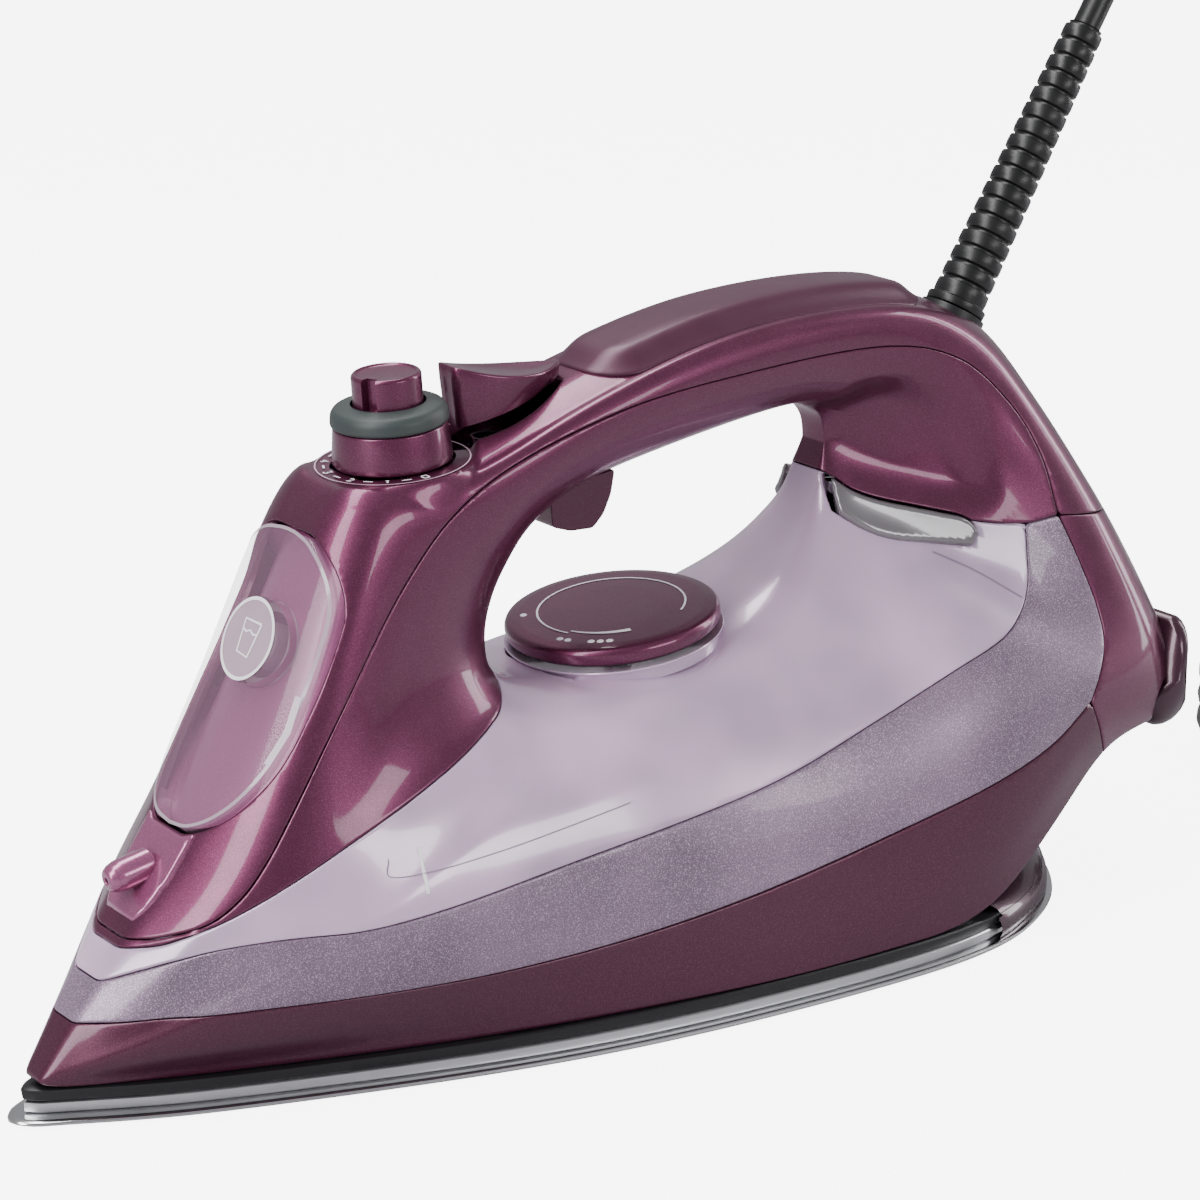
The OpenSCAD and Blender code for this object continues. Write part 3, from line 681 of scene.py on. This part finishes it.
def ringed(name, rings, finish, smooth=35, closed=False):
    """A skin over rings of equal length; the first and last are capped unless the rings close up."""
    size = len(rings[0])
    faces = hoops(len(rings), size, closed)
    if not closed:
        faces.append(tuple(reversed(range(size))))
        faces.append(tuple((len(rings) - 1) * size + k for k in range(size)))
    obj = mesh_object(name, [AT_PLAN @ Vector(p) for ring in rings for p in ring], faces, finish)
    weld(obj)
    smooth_mesh(obj.data, smooth)
    return obj


def slab(name, outline, half, finish, bevel):
    """An outline in x and z given a half thickness along Y, with rounded edges."""
    count = len(outline)
    verts = [AT_PLAN @ Vector((x, y, z)) for y in (-half, half) for x, z in outline]
    faces = [tuple(range(count)), tuple(reversed(range(count, 2 * count)))]
    faces += [(k, count + k, count + (k + 1) % count, (k + 1) % count) for k in range(count)]
    obj = mesh_object(name, verts, faces, finish)
    weld(obj)
    round_edges(obj, bevel)
    return obj


def round_edges(obj, width):
    mod = obj.modifiers.new("round", "BEVEL")
    mod.width, mod.segments, mod.limit_method = width * MM, 4, "ANGLE"
    mod.angle_limit = math.radians(30)
    smooth_mesh(obj.data, 30)


def arc(centre, radius, start, end, steps):
    """Points on an arc, between two angles in degrees."""
    angles = [math.radians(start + (end - start) * k / steps) for k in range(steps + 1)]
    return [(centre[0] + radius * math.cos(a), centre[1] + radius * math.sin(a)) for a in angles]


# ---------------- shells

def cylinder_cut(place, radius, low, high):
    """Inside of a cylinder about the place's axis, between two heights along it."""
    axis, flat = tilted(*place, (2,)), disc(tilted(*place), (0, 0), radius)

    def field(p):
        h = axis(p)[:, 0]
        return np.minimum(np.minimum(h - low, high - h), flat(p))
    return field


def make_side_shells():
    lens_gap = outside(lens_outline(0.3))
    dial_gap = outside(cylinder_cut(DIAL, 25.9, -6.9, 20))
    settle(panel("skirt", SKIRT, finish="dark_plum"), "dark_plum", "base_skirt")
    settle(panel("band", BAND, finish="band"), "speckled_lilac", "tank_band")
    settle(panel("tank", every(TANK, lens_gap, dial_gap), finish="tank"), "tank_lilac", "water_tank")
    trigger_slot = every(round_box(plan, (-10.5, 0), (13, 7), 1), above(100), outside(above(130)))
    settle(panel("inner", every(INNER, lens_gap, outside(trigger_slot)), finish="plum",
                 dish=post_dish), "plum", "inner_shell")


def make_spine_and_heel():
    door_gap = every(door_field(0.5), before(-60))
    knob_gap = cylinder_cut(KNOB, 13.8, -21, 20)
    cord_gap = cylinder_cut(CORD, 8.4, -16, 60)
    nozzle_gap = every(disc(tilted(*NOZZLE), (0, 0), 4.2), before(-100))
    button_gap = every(button_field(0.75), above(110))
    cuts = either(door_gap, knob_gap, button_gap, cord_gap, nozzle_gap)
    settle(panel("spine", every(SPINE, outside(cuts)), finish="plum", dish=deck_dish,
                 shape=knob_seat), "plum", "spine_shell")
    foot_gap = disc(tilted((150, 0, 43), 0, (0, 2)), (0, 0), 7.5)
    settle(panel("heel", every(HEEL, outside(foot_gap)), finish="plum"), "plum", "heel_cover")


def make_fitted_panels():
    """The grip pad, lens, nozzle pad and filler door, which stand slightly proud of the shells."""
    grip = every(deck_field(-1.4), round_box(plan, (41.5, 0), (50.5, 15), 13), above(135))
    settle(panel("grip_pad", grip, out=1.6, gap=0, edge=0.5, wall=1.4, finish="soft_plum",
                 dish=lambda p: 2.3 * (1 - step(grip(p) / 7))),
           "soft_plum", "handle_pad")
    settle(panel("lens", lens_outline(0), out=1.3, gap=0, edge=1.2, wall=2.4, finish="smoke"),
           "smoke_lens", "indicator_lens")
    face = tilted((0, 0, 49), 0, (1, 2))
    pad = every(either(disc(face, (0, 0), 8.6), round_box(face, (0, 6.5), (9.4, 6.5), 2)), before(-100),
                outside(disc(tilted(*NOZZLE), (0, 0), 4.2)), outside(door_field(1.0)))
    settle(panel("nozzle_plate", pad, out=1.2, gap=0, edge=1.0, wall=1.1, finish="rose"),
           "rose", "nozzle_pad")
    settle(panel("door", every(door_field(), before(-60)), out=0.7, gap=0, edge=0.9, wall=1.7,
                 finish="clear"), "smoke_clear", "filler_door", body="filler_door")


# ---------------- heated base

BASE_HALF = smooth_curve([[-158, 0], [-156, 3.6], [-149.5, 7.8], [-118.7, 22.5], [-58.9, 42.6],
                          [-10.6, 52.9], [45, 58.1], [78, 56.6], [100, 48], [115, 36], [126, 19],
                          [128.5, 0]], 12)


def plan_rings(profile):
    """The soleplate's outline at each row of the profile, which gives an inset and a height."""
    rings = []
    for inset, z in profile:
        half = np.column_stack([BASE_HALF[:, 0] * (1 - inset / 143), np.maximum(BASE_HALF[:, 1] - inset, 0)])
        half = half[half[:, 1] > 0.02]
        closed = np.vstack([half, half[::-1] * (1, -1), half[:1]])
        length = np.append(0, np.cumsum(np.hypot(*np.diff(closed, axis=0).T)))
        at = np.linspace(0, length[-1], 361)[:-1]
        x, y = np.interp(at, length, closed[:, 0]), np.interp(at, length, closed[:, 1])
        rings.append([(float(a), float(b), z) for a, b in zip(x, y)])
    return rings


def make_base():
    rim = [(9, 0), (2.4, 0), (1.2, 0.12), (0.5, 0.35), (0.12, 0.7), (0, 1.1), (0.1, 1.45), (0.45, 1.7),
           (1.2, 1.8), (9, 1.8)]
    settle(ringed("sole", plan_rings(rim), "steel"), "polished_sole", "soleplate")
    make_steam_holes()
    block = [(20, 1.85), (3.0, 1.85), (2.6, 2.3), (2.6, 4.3), (3.0, 4.7), (9.4, 4.7), (10, 5.2), (10, 11.8),
             (20, 11.8)]
    settle(ringed("block", plan_rings(block), "cast"), "cast_aluminium", "heating_block")
    make_tail()
    # The heat shield ring is black plastic, and its black also paints the shadow in the gap between the skirt
    # and the heating block.
    shield_and_gap_shade = [(9.6, 4.9), (2.7, 4.9), (2.4, 5.3), (2.2, 7.6), (2.6, 7.9), (9.6, 7.9)]
    settle(ringed("shield_and_gap_shade", plan_rings(shield_and_gap_shade), "black", closed=True), "black_plastic", "heat_shield")


def make_steam_holes():
    """Two rows on each side: one along the sole's edge and one from its middle. Each hole is a shallow black
    cup, painted shade for the dark depth of a steam hole.
    """
    shaded_hole_cup = [(0, 1.2), (1.3, 1.2), (1.3, 0.1), (1.7, -0.04), (2, 0.01)]
    for side in (-1, 1):
        rows = [(-122 + 12 * k, side * (11 + 3.6 * k - 0.12 * k * k)) for k in range(9)]
        rows += [(-90 + 14 * k, side * (4 + 3.4 * k)) for k in range(5)]
        for n, (x, y) in enumerate(rows):
            hole = turned(f"steam_hole_{side + 1}_{n}", shaded_hole_cup, frame_of((x, y, 0), 0), "black",
                          sides=20)
            settle(hole, "polished_sole")


TAIL_FRONT = 80


def make_tail():
    """The plum cover over the rear of the heating block."""
    rings = plan_rings([(1.5, 1.9), (1.1, 2.8), (1.2, 5), (1.8, 7), (3, 8.6), (5, 9.8), (9, 10.9),
                        (15, 11.6), (24, 12)])
    verts = [AT_PLAN @ Vector(p) for ring in rings for p in ring]
    faces = [face for face in hoops(len(rings), len(rings[0]))
             if min(verts[v].x for v in face[:2]) > TAIL_FRONT * MM]
    settle(mesh_object("tail", verts, faces, "tail", smooth=40), "dark_plum")


# ---------------- temperature dial

def ribbon(count):
    """Faces of a strip of count quads between two lines of points."""
    return [(2 * k, 2 * k + 1, 2 * k + 3, 2 * k + 2) for k in range(count)]


def flat_arc(name, radius, width, start, end, height, where, finish, taper=1.0):
    """A printed line along part of a circle; taper is its end's width as a share of its start's."""
    count = max(8, int(abs(end - start) / 3))
    verts = []
    for k in range(count + 1):
        angle = math.radians(start + (end - start) * k / count)
        half = width / 2 * (1 + (taper - 1) * k / count)
        for r in (radius - half, radius + half):
            verts.append(where @ Vector((r * math.cos(angle), r * math.sin(angle), height)))
    return mesh_object(name, verts, ribbon(count), finish)


def make_dial():
    body = [(0, -5.2), (23.4, -5.2), (25.2, -4), (25.4, -2.6), (25.35, -1.6), (24.9, -0.75), (24.2, -0.4),
            (22, 0.02), (12, 0.32), (0, 0.4)]
    dial = turned("dial", rounded(body, 0.5), AT_DIAL, "plum", sides=144)
    settle(dial, "plum", "temperature_dial", body="temperature_dial")
    settle(flat_arc("dial_ring", 17.4, 0.5, -58, 198, 0.3, AT_DIAL, "print"),
           "plum", body="temperature_dial")
    settle(flat_arc("dial_bar", 16.2, 0.5, -162, -111, 0.32, AT_DIAL, "print", taper=3.0),
           "plum", body="temperature_dial")
    for dots, middle in ((1, 144), (2, -159), (3, -134)):
        for k in range(dots):
            at = math.radians(middle + (k - (dots - 1) / 2) * 6)
            spot = AT_DIAL @ Matrix.Translation((20.6 * math.cos(at), 20.6 * math.sin(at), 0.05))
            dot = turned(f"dial_dot_{dots}_{k}", [(0, 0.14), (0.7, 0.12), (0.85, 0)], spot,
                         "print", sides=20)
            settle(dot, "plum", body="temperature_dial")
    seat = [(3.2, -6.9), (3.2, -5.9), (25.4, -5.9), (25.7, -5.7), (25.9, -5.9), (25.7, -6.3), (24.8, -6.6),
            (24.6, -9.4), (24, -9.4), (3.2, -7.4)]
    settle(turned("dial_well", seat, AT_DIAL, "tank", sides=128), "tank_lilac", "dial_seat")


# ---------------- steam knob, spray button, trigger

def make_knob():
    foot = [(0, -20.2), (13.3, -20.2), (13.4, -19.2), (12.7, -11.8), (12.2, -11.5), (4.1, -11.5), (4.1, -14),
            (0, -14)]
    settle(turned("knob_foot", rounded(foot, 0.4), AT_KNOB, "plum"), "plum", "knob_base", body="steam_knob")
    grip = [(8.4, -11.4), (12.9, -11.4), (13.2, -10.9), (13, -8.8), (12.2, -7.6), (8.9, -6.7), (8.4, -6.8)]
    settle(turned("knob_ring", rounded(grip, 0.6), AT_KNOB, "grey_rubber", sides=144),
           "grey_rubber", "knob_grip", body="steam_knob")
    top = [(0, -13.6), (4, -13.6), (4, -11.2), (7.7, -11.2), (7.8, -10.6), (7.8, -7.6), (7.8, -7.2),
           (7.8, -0.6), (7.3, -0.1), (6.9, -0.1), (6.5, -0.5), (0, -0.7)]

    def notch(angle, r, h):
        inside = r > 5.8 and h > -7.4 and math.cos(angle - math.radians(205)) > 0.975
        return (min(r, 5.9) if inside else r), h
    settle(turned("knob_top", rounded(top, 0.3), AT_KNOB, "plum", sides=240, shape=notch),
           "plum", "knob_cap", body="clean_cap")


PRINT_Z = -20.35         # height of the scale's print along the knob's axis


def make_scale():
    """Figures 0 to 5 round the knob with a dash between them, inside a thin line."""
    for k in range(11):
        angle = -96 - 16 * k
        if k % 2:
            mark = flat_arc(f"scale_dash_{k}", 15.3, 0.45, angle - 4, angle + 4, PRINT_Z, AT_KNOB,
                            "print")
            settle(mark, "plum")
        else:
            figure(f"scale_{k // 2}", str(k // 2), 15.3, angle, "print")
    settle(flat_arc("scale_ring", 17.2, 0.35, -260, 20, -20.4, AT_KNOB, "print_pink"), "plum")


STROKES = {
    "0": [[(-0.5, -0.9), (0.5, -0.9), (0.7, 0), (0.5, 0.9), (-0.5, 0.9), (-0.7, 0), (-0.5, -0.9)]],
    "1": [[(-0.4, 0.5), (0.1, 0.9), (0.1, -0.9)]],
    "2": [[(-0.6, 0.6), (0, 0.9), (0.6, 0.5), (-0.6, -0.9), (0.6, -0.9)]],
    "3": [[(-0.6, 0.9), (0.6, 0.9), (0, 0.15), (0.6, -0.4), (0, -0.9), (-0.6, -0.7)]],
    "4": [[(0.3, -0.9), (0.3, 0.9), (-0.7, -0.3), (0.7, -0.3)]],
    "5": [[(0.6, 0.9), (-0.5, 0.9), (-0.5, 0.1), (0.3, 0.1), (0.6, -0.4), (0.2, -0.9), (-0.6, -0.8)]],
}


def stroke(points, width, place, name, finish):
    """A printed line of even width through points, put in place by a function of x and y."""
    pts = [np.array(p, float) for p in points]
    verts = []
    for k, p in enumerate(pts):
        ahead = pts[min(k + 1, len(pts) - 1)] - pts[max(k - 1, 0)]
        side = np.array([-ahead[1], ahead[0]]) / (np.linalg.norm(ahead) + 1e-9) * width / 2
        verts += [place(*(p + side)), place(*(p - side))]
    return mesh_object(name, verts, ribbon(len(pts) - 1), finish)


def figure(name, digit, radius, angle, finish):
    """One figure of the knob's scale, upright when read from outside the knob."""
    turn = math.radians(angle)
    out = Vector((math.cos(turn), math.sin(turn), 0))
    right = Vector((-math.sin(turn), math.cos(turn), 0))
    for n, line in enumerate(STROKES[digit]):
        def place(x, y):
            return AT_KNOB @ (out * (radius - y) + right * x + Vector((0, 0, PRINT_Z)))
        settle(stroke(line, 0.42, place, f"{name}_{n}", finish), "plum")


BUTTON_MIDDLE = np.array([-27, 0])


def button_outline(grow, steps=72):
    """Outline of the spray button, shared out evenly by angle round its middle."""
    out = []
    r = np.linspace(0, 24, 1200)
    for k in range(steps):
        angle = 2 * math.pi * k / steps
        way = np.array([math.cos(angle), math.sin(angle), 0])
        p = (*BUTTON_MIDDLE, 0) + r[:, None] * way
        reach = r[np.argmin(button_field(grow)(p) > 0)]
        out.append(BUTTON_MIDDLE + reach * way[:2])
    return out


def make_button():
    def height(x):
        """The button's top, hollowed for the thumb."""
        return 152.6 - 0.115 * (x + 46) - 2.7 * max(0, 1 - ((x + 27) / 19) ** 2)
    edge = button_outline(-0.1)
    rings = [[(*(BUTTON_MIDDLE + (p - BUTTON_MIDDLE) * 0.9), 136 + 0.25 * (p[0] + 46)) for p in edge]]
    for share, drop in ((0.985, 3.4), (1, 0.55), (0.99, 0.2), (0.965, 0.02), (0.93, 0), (0.8, 0.25),
                        (0.6, 0.5), (0.4, 0.62), (0.2, 0.68), (0.02, 0.7)):
        spots = [BUTTON_MIDDLE + (p - BUTTON_MIDDLE) * share for p in edge]
        rings.append([(*spot, height(spot[0]) - drop) for spot in spots])
    settle(ringed("button", rings, "plum", smooth=50), "plum", "spray_button", body="spray_button")


def make_trigger():
    outline = rounded([(-18, 117.4), (-17.4, 110.6), (-12.5, 108.9), (-6, 108.5), (-3, 111.4), (-0.8, 116),
                       (0.2, 121.6), (-8, 120.6), (-14, 118.8)], 1.1, closed=True)
    settle(slab("trigger", outline, 6.2, "dark_plum", bevel=1.2), "dark_plum", "steam_trigger",
           body="steam_trigger")


# ---------------- nozzle, filler, rear foot

def make_nozzle():
    shape = [(0, 0), (3.6, 0), (3.6, 7.6), (3.2, 9.4), (2.5, 10.6), (1.6, 11), (0.8, 10.9), (0.7, 8.2),
             (0, 8)]
    settle(turned("nozzle", rounded(shape, 0.4), frame_of(*NOZZLE), "rose", sides=48), "rose", "spray_nozzle")


@functools.cache
def surface_tree(out):
    verts, quads, _ = body_mesh(out)
    return BVHTree.FromPolygons([tuple(v) for v in verts], [tuple(map(int, q)) for q in quads])


def on_surface(out, start, direction):
    """Where a line meets the body's surface moved outward by out, in metres from millimetres."""
    return surface_tree(out).ray_cast(Vector(start), Vector(direction))[0] * MM


def door_spot(x, y, out):
    """The point of the door's surface over local x and y, in metres."""
    return on_surface(out, Matrix.Scale(1000, 4) @ AT_DOOR @ Vector((x, y, 40)),
                      AT_DOOR.to_3x3() @ Vector((0, 0, -1000)))


def door_line(name, points, width, out, finish):
    mark = stroke(points, width, lambda x, y: door_spot(x, y, out), name, finish)
    settle(mark, "smoke_clear", body="filler_door")


PORT_X = 8               # the port's place along the door's local X


def round_port(radius, every_degrees, end=360):
    angles = [math.radians(a) for a in range(0, end, every_degrees)]
    return [(PORT_X + radius * math.cos(a), radius * math.sin(a)) for a in angles]


def make_filler():
    """The recess behind the door, with the port in it and the stopper on the door."""
    around_port = every(door_field(-0.4), before(-60), outside(disc(door_plane, (PORT_X, 0), 9.8)))
    settle(panel("recess", around_port, out=-4.5, gap=0, edge=0.3, wall=-3.6, finish="recess"),
           "rose", "filler_recess")
    at_port = AT_DOOR @ Matrix.Translation((PORT_X, 0, 0))
    collar = [(7.4, -16), (7.4, -6.4), (7.8, -5.9), (9.6, -5.9), (10, -6.4), (10, -16)]
    settle(turned("port", rounded(collar, 0.4), at_port, "clear_disc", sides=64), "rose")
    plug = [(0, -12), (4.9, -12), (5.5, -11.4), (5.6, -10.5), (5.6, -4.6), (5.3, -4.2), (0, -4.2)]
    stopper = turned("stopper", rounded(plug, 0.4), at_port, "clear_disc", sides=64)
    settle(stopper, "rose", "door_plug", body="filler_door")


def make_door_marks():
    """The door's rim, its round window with a plain cup drawn in it, and the tab at its lower end."""
    rim = [tuple(p * (0.972, 0.955)) for p in np.vstack([DOOR_EDGE, backwards(DOOR_EDGE)[1:] * (1, -1)])]
    door_line("door_rim", rim, 0.75, 0.78, "clear_edge")
    door_line("disc_ring", round_port(9, 6, 361), 0.8, 0.95, "print")
    rows = [round_port(r, 9) for r in (0.1, 3, 5.9, 8.8)]
    verts = [door_spot(x, y, 0.86) for row in rows for x, y in row]
    disc_mesh = mesh_object("disc", verts, hoops(len(rows), len(rows[0])), "clear_disc", smooth=40)
    settle(disc_mesh, "smoke_clear", body="filler_door")
    cup = [(12, -3.4), (12, 3), (4.6, 2.2), (4.2, -2.2), (12, -3.4)]
    door_line("cup", cup, 0.55, 0.95, "print")
    wave = [(9.6, -3), (9.2, -1.6), (9.9, 0), (9.3, 1.4), (9.8, 2.7)]
    door_line("cup_level", wave, 0.45, 0.95, "print")
    door_line("door_tab", [(1, -19.6), (-7, -20.1), (-15, -18.9)], 1.3, 1.15, "clear_edge")


def side_line(name, points, width, finish):
    """A printed line on the near side of the tank, through points given as x and z."""
    smooth = smooth_curve(points, 6) if len(points) > 2 else np.linspace(points[0], points[1], 12)
    mark = stroke(smooth, width, lambda x, z: on_surface(0.12, (x, -150, z), (0, 1, 0)), name, finish)
    settle(mark, "tank_lilac")


def make_tank_marks():
    """The level mark, and the tank's inner seams showing through it."""
    side_line("level_mark", [(-75.2, 46.5), (-74.8, 55.8)], 0.8, "print")
    side_line("level_tick", [(-74.8, 55.6), (-71, 56)], 0.4, "print")
    side_line("inner_seam_front", [(-82, 54.5), (-81, 50.5), (-60, 52), (-36, 54.5), (-22, 56)], 0.25,
              "tank_line")
    side_line("inner_seam_rear", [(83, 91), (92, 86), (101.5, 79)], 0.4, "tank_line")


def make_rear_foot():
    """Rounded bar across the back that the iron stands on, drop-shaped from the side."""
    drop = arc((150.2, 43), 6.9, 120, 330, 24) + arc((153.6, 62), 2.6, -20, 150, 14)
    middle_x, middle_z = 151, 50
    bends = [(-1, 86 - 10 * k) for k in range(9)] + [(1, 10 * k) for k in range(9)]
    rings = []
    for side, bend in bends:
        share = math.cos(math.radians(bend))
        y = side * (35 + 7.5 * math.sin(math.radians(bend)))
        rings.append([(middle_x + (x - middle_x) * share, y, middle_z + (z - middle_z) * share)
                      for x, z in drop])
    settle(ringed("rear_foot", rings, "tail", smooth=75), "dark_plum", "heel_foot")


# ---------------- cord, guard, plug

def make_guard():
    ribs, length = 17, 74.6
    profile = [(3.65, -2.4), (7.5, -2.5), (7.6, -0.6), (6.6, -0.2)]
    for k in range(ribs):
        r = 6.7 - 1.9 * k / ribs
        z = k * length / ribs
        profile += [(r, z + 0.25), (r + 0.1, z + 1.6), (r, z + 3.35), (r - 0.9, z + 3.5), (r - 0.9, z + 4.2)]
    profile += [(4.4, length), (3.65, length)]
    settle(turned("guard", rounded(profile, 0.2, 2), frame_of(*CORD), "rubber", sides=64),
           "black_rubber", "cord_guard")


COIL_X, COIL_Y, COIL_R, CORD_D = 262, -6, 35, 7
TURNS, PER_TURN = 5.5, 20
PLUG_Z = 39.6


def coil_point(turn, radius, z):
    angle = math.radians(180 - 360 * turn)
    return (COIL_X + radius * math.cos(angle), COIL_Y + radius * math.sin(angle), z)


def coil_points():
    """Two turns side by side to a layer, and the layers stacked."""
    points = []
    for k in range(int(TURNS * PER_TURN) + 1):
        turn = k / PER_TURN
        layer = min(int(turn / 2), 2)
        pair = turn - 2 * layer
        inward = step((pair - 0.7) / 0.3)
        radius = COIL_R + CORD_D * (inward if layer == 1 else 1 - inward)
        climb = step((pair - 1.7) / 0.3) if layer < 2 else 0
        points.append(coil_point(turn, radius, 3.9 + 6.9 * (layer + climb)))
    return points


def cord_points():
    """The cord's middle line in millimetres: out of the guard, over, down, round the coil, to the plug."""
    points = [(105, 0, 137), (110, 0, 145), (120, 0, 161), (130, 0, 177), (140, 0, 193), (150, 0, 209),
              (159.5, -1, 224), (171, -5, 238), (186, -14, 247), (202, -27, 247.5), (215, -40, 240),
              (225, -51, 224), (229, -57, 201), (231, -60, 172), (231, -61.5, 142), (230, -62, 112),
              (229, -62, 82), (227, -61, 56), (225, -56, 33), (223.5, -45, 15), (221.6, -31, 6.4),
              (220.3, -18, 3.9)] + coil_points()
    for k in range(1, 11):
        rise = step(k / 10)
        points.append(coil_point(TURNS + k / 20, COIL_R + 3.5 * rise, 17.7 + (PLUG_Z - 17.7) * rise))
    for k in range(1, 7):
        angle = math.radians(180 - 15 * k)
        points.append((251.5 + 28 * math.cos(angle), -6 + 28 * math.sin(angle), PLUG_Z))
    return [Vector(p) for p in points + [(256, 22, PLUG_Z), (260.5, 22, PLUG_Z)]]


def cord_line():
    curve = bpy.data.curves.new("cord_line", "CURVE")
    curve.dimensions = "3D"
    points = cord_points()
    spline = curve.splines.new("BEZIER")
    spline.bezier_points.add(len(points) - 1)
    for spot, p in zip(spline.bezier_points, points):
        spot.co = p * MM
        spot.handle_left_type = spot.handle_right_type = "AUTO"
    spline.resolution_u = 10
    curve.bevel_depth = CORD_D / 2 * MM
    curve.bevel_resolution = 5
    curve.use_fill_caps = True
    curve.materials.append(looks["rubber"])
    cord = bpy.data.objects.new("mains_cord", curve)
    bpy.context.scene.collection.objects.link(cord)
    return cord


def make_plug():
    """The plug, lying on the coil, and its two pins."""
    where = (Matrix.Scale(MM, 4) @ Matrix.Translation((300, 22, PLUG_Z))
             @ Matrix.Rotation(math.radians(-90), 4, "Y") @ Matrix.Rotation(math.radians(90), 4, "Z"))
    shape = [(0, 0), (17.2, 0), (18, 0.8), (18, 9), (15, 12), (13, 24), (9, 31), (6.2, 36), (5.8, 39),
             (5.2, 49.6), (3.6, 50), (3.6, 40)]
    plug = turned("plug", rounded(shape, 1.4), where, "rubber", sides=64)
    settle(plug, "black_rubber", "plug_body")
    pins = []
    for side in (-1, 1):
        pin = turned(f"plug_pin_{side + 1}", [(0, 0), (2.4, 0), (2.4, -17.6), (1.9, -18.8), (0, -19)],
                     where @ Matrix.Translation((side * 9.5, 0, 0)), "brass", sides=32)
        settle(pin, "brass")
        pins.append(pin)
    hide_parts("plug_pins")
    return plug, pins


def make_tie():
    """A flat strap round the coil's turns on the side away from the iron."""
    low, high, near, far = 0.3, 22.2, 30.4, 46.6
    middle_x, middle_z = (near + far) / 2, (low + high) / 2
    loop = rounded([(near, low), (far, low), (far, high), (near, high)], 3, 5, closed=True)
    outer = [(COIL_X + x, z) for x, z in loop]
    inner = [(COIL_X + middle_x + (x - middle_x) * 0.88, middle_z + (z - middle_z) * 0.91)
             for x, z in loop]
    rings = [[(x, y, z) for x, z in ring] for ring, y in
             ((inner, -9.6), (outer, -9.6), (outer, -2.4), (inner, -2.4))]
    tie = ringed("tie", rings, "black", closed=True)
    round_edges(tie, 0.3)
    settle(tie, "black_plastic", "coil_tie")
    return tie


def make_cord():
    cord = cord_line()
    settle(cord, "black_rubber", "cord", "cord_coil")
    plug, pins = make_plug()
    tie = make_tie()


# ---------------- the rest of the CAD solids, floor

HIDDEN_FINISH = {
    "heating_element": "steel", "steam_chamber_cover": "cast", "screws": "steel", "thermostat": "brass",
    "thermal_fuse": "black", "tank_liner": "tank", "dial_shaft": "steel", "valve_stem": "steel",
    "valve_seat": "brass", "spray_pump": "black", "spray_spring": "steel", "trigger_pin": "steel",
    "boost_pump": "black", "boost_spring": "steel", "terminal_block": "white_plastic",
    "indicator_lamp": "lamp", "wires": "brass", "cord_bushing": "black",
}


def finish_inner_parts():
    """The CAD solids that stay as they are get their materials."""
    for name, look in HIDDEN_FINISH.items():
        solid = frame["nodes"][name]
        solid.data.materials.clear()
        solid.data.materials.append(looks[look])


def make_floor():
    """The pale floor glows for the camera only, so it lights nothing."""
    tree = looks["floor"].node_tree
    nodes, links = tree.nodes, tree.links
    glow, path = nodes.new("ShaderNodeEmission"), nodes.new("ShaderNodeLightPath")
    seen = nodes.new("ShaderNodeMath")
    seen.operation = "MULTIPLY"
    seen.inputs[1].default_value = FLOOR_GLOW
    links.new(path.outputs["Is Camera Ray"], seen.inputs[0])
    links.new(seen.outputs[0], glow.inputs["Strength"])
    both = nodes.new("ShaderNodeAddShader")
    links.new(nodes["Principled BSDF"].outputs[0], both.inputs[0])
    links.new(glow.outputs[0], both.inputs[1])
    links.new(both.outputs[0], nodes["Material Output"].inputs["Surface"])
    size, rows = 4.0, 40
    wide = rows + 1
    verts = [(size * (i / rows - 0.5), size * (j / rows - 0.5), -0.0002) for i in range(wide)
             for j in range(wide)]
    faces = [(i * wide + j, (i + 1) * wide + j, (i + 1) * wide + j + 1, i * wide + j + 1)
             for i in range(rows) for j in range(rows)]
    mesh_object("floor", verts, faces, "floor")


make_camera()
looks = make_materials()
for make in (make_cord, make_side_shells, make_spine_and_heel, make_fitted_panels, make_base, make_dial,
             make_knob, make_scale, make_button, make_trigger, make_nozzle, make_filler, make_door_marks,
             make_tank_marks, make_rear_foot, make_guard, finish_inner_parts, make_floor, make_lights,
             make_world):
    make()
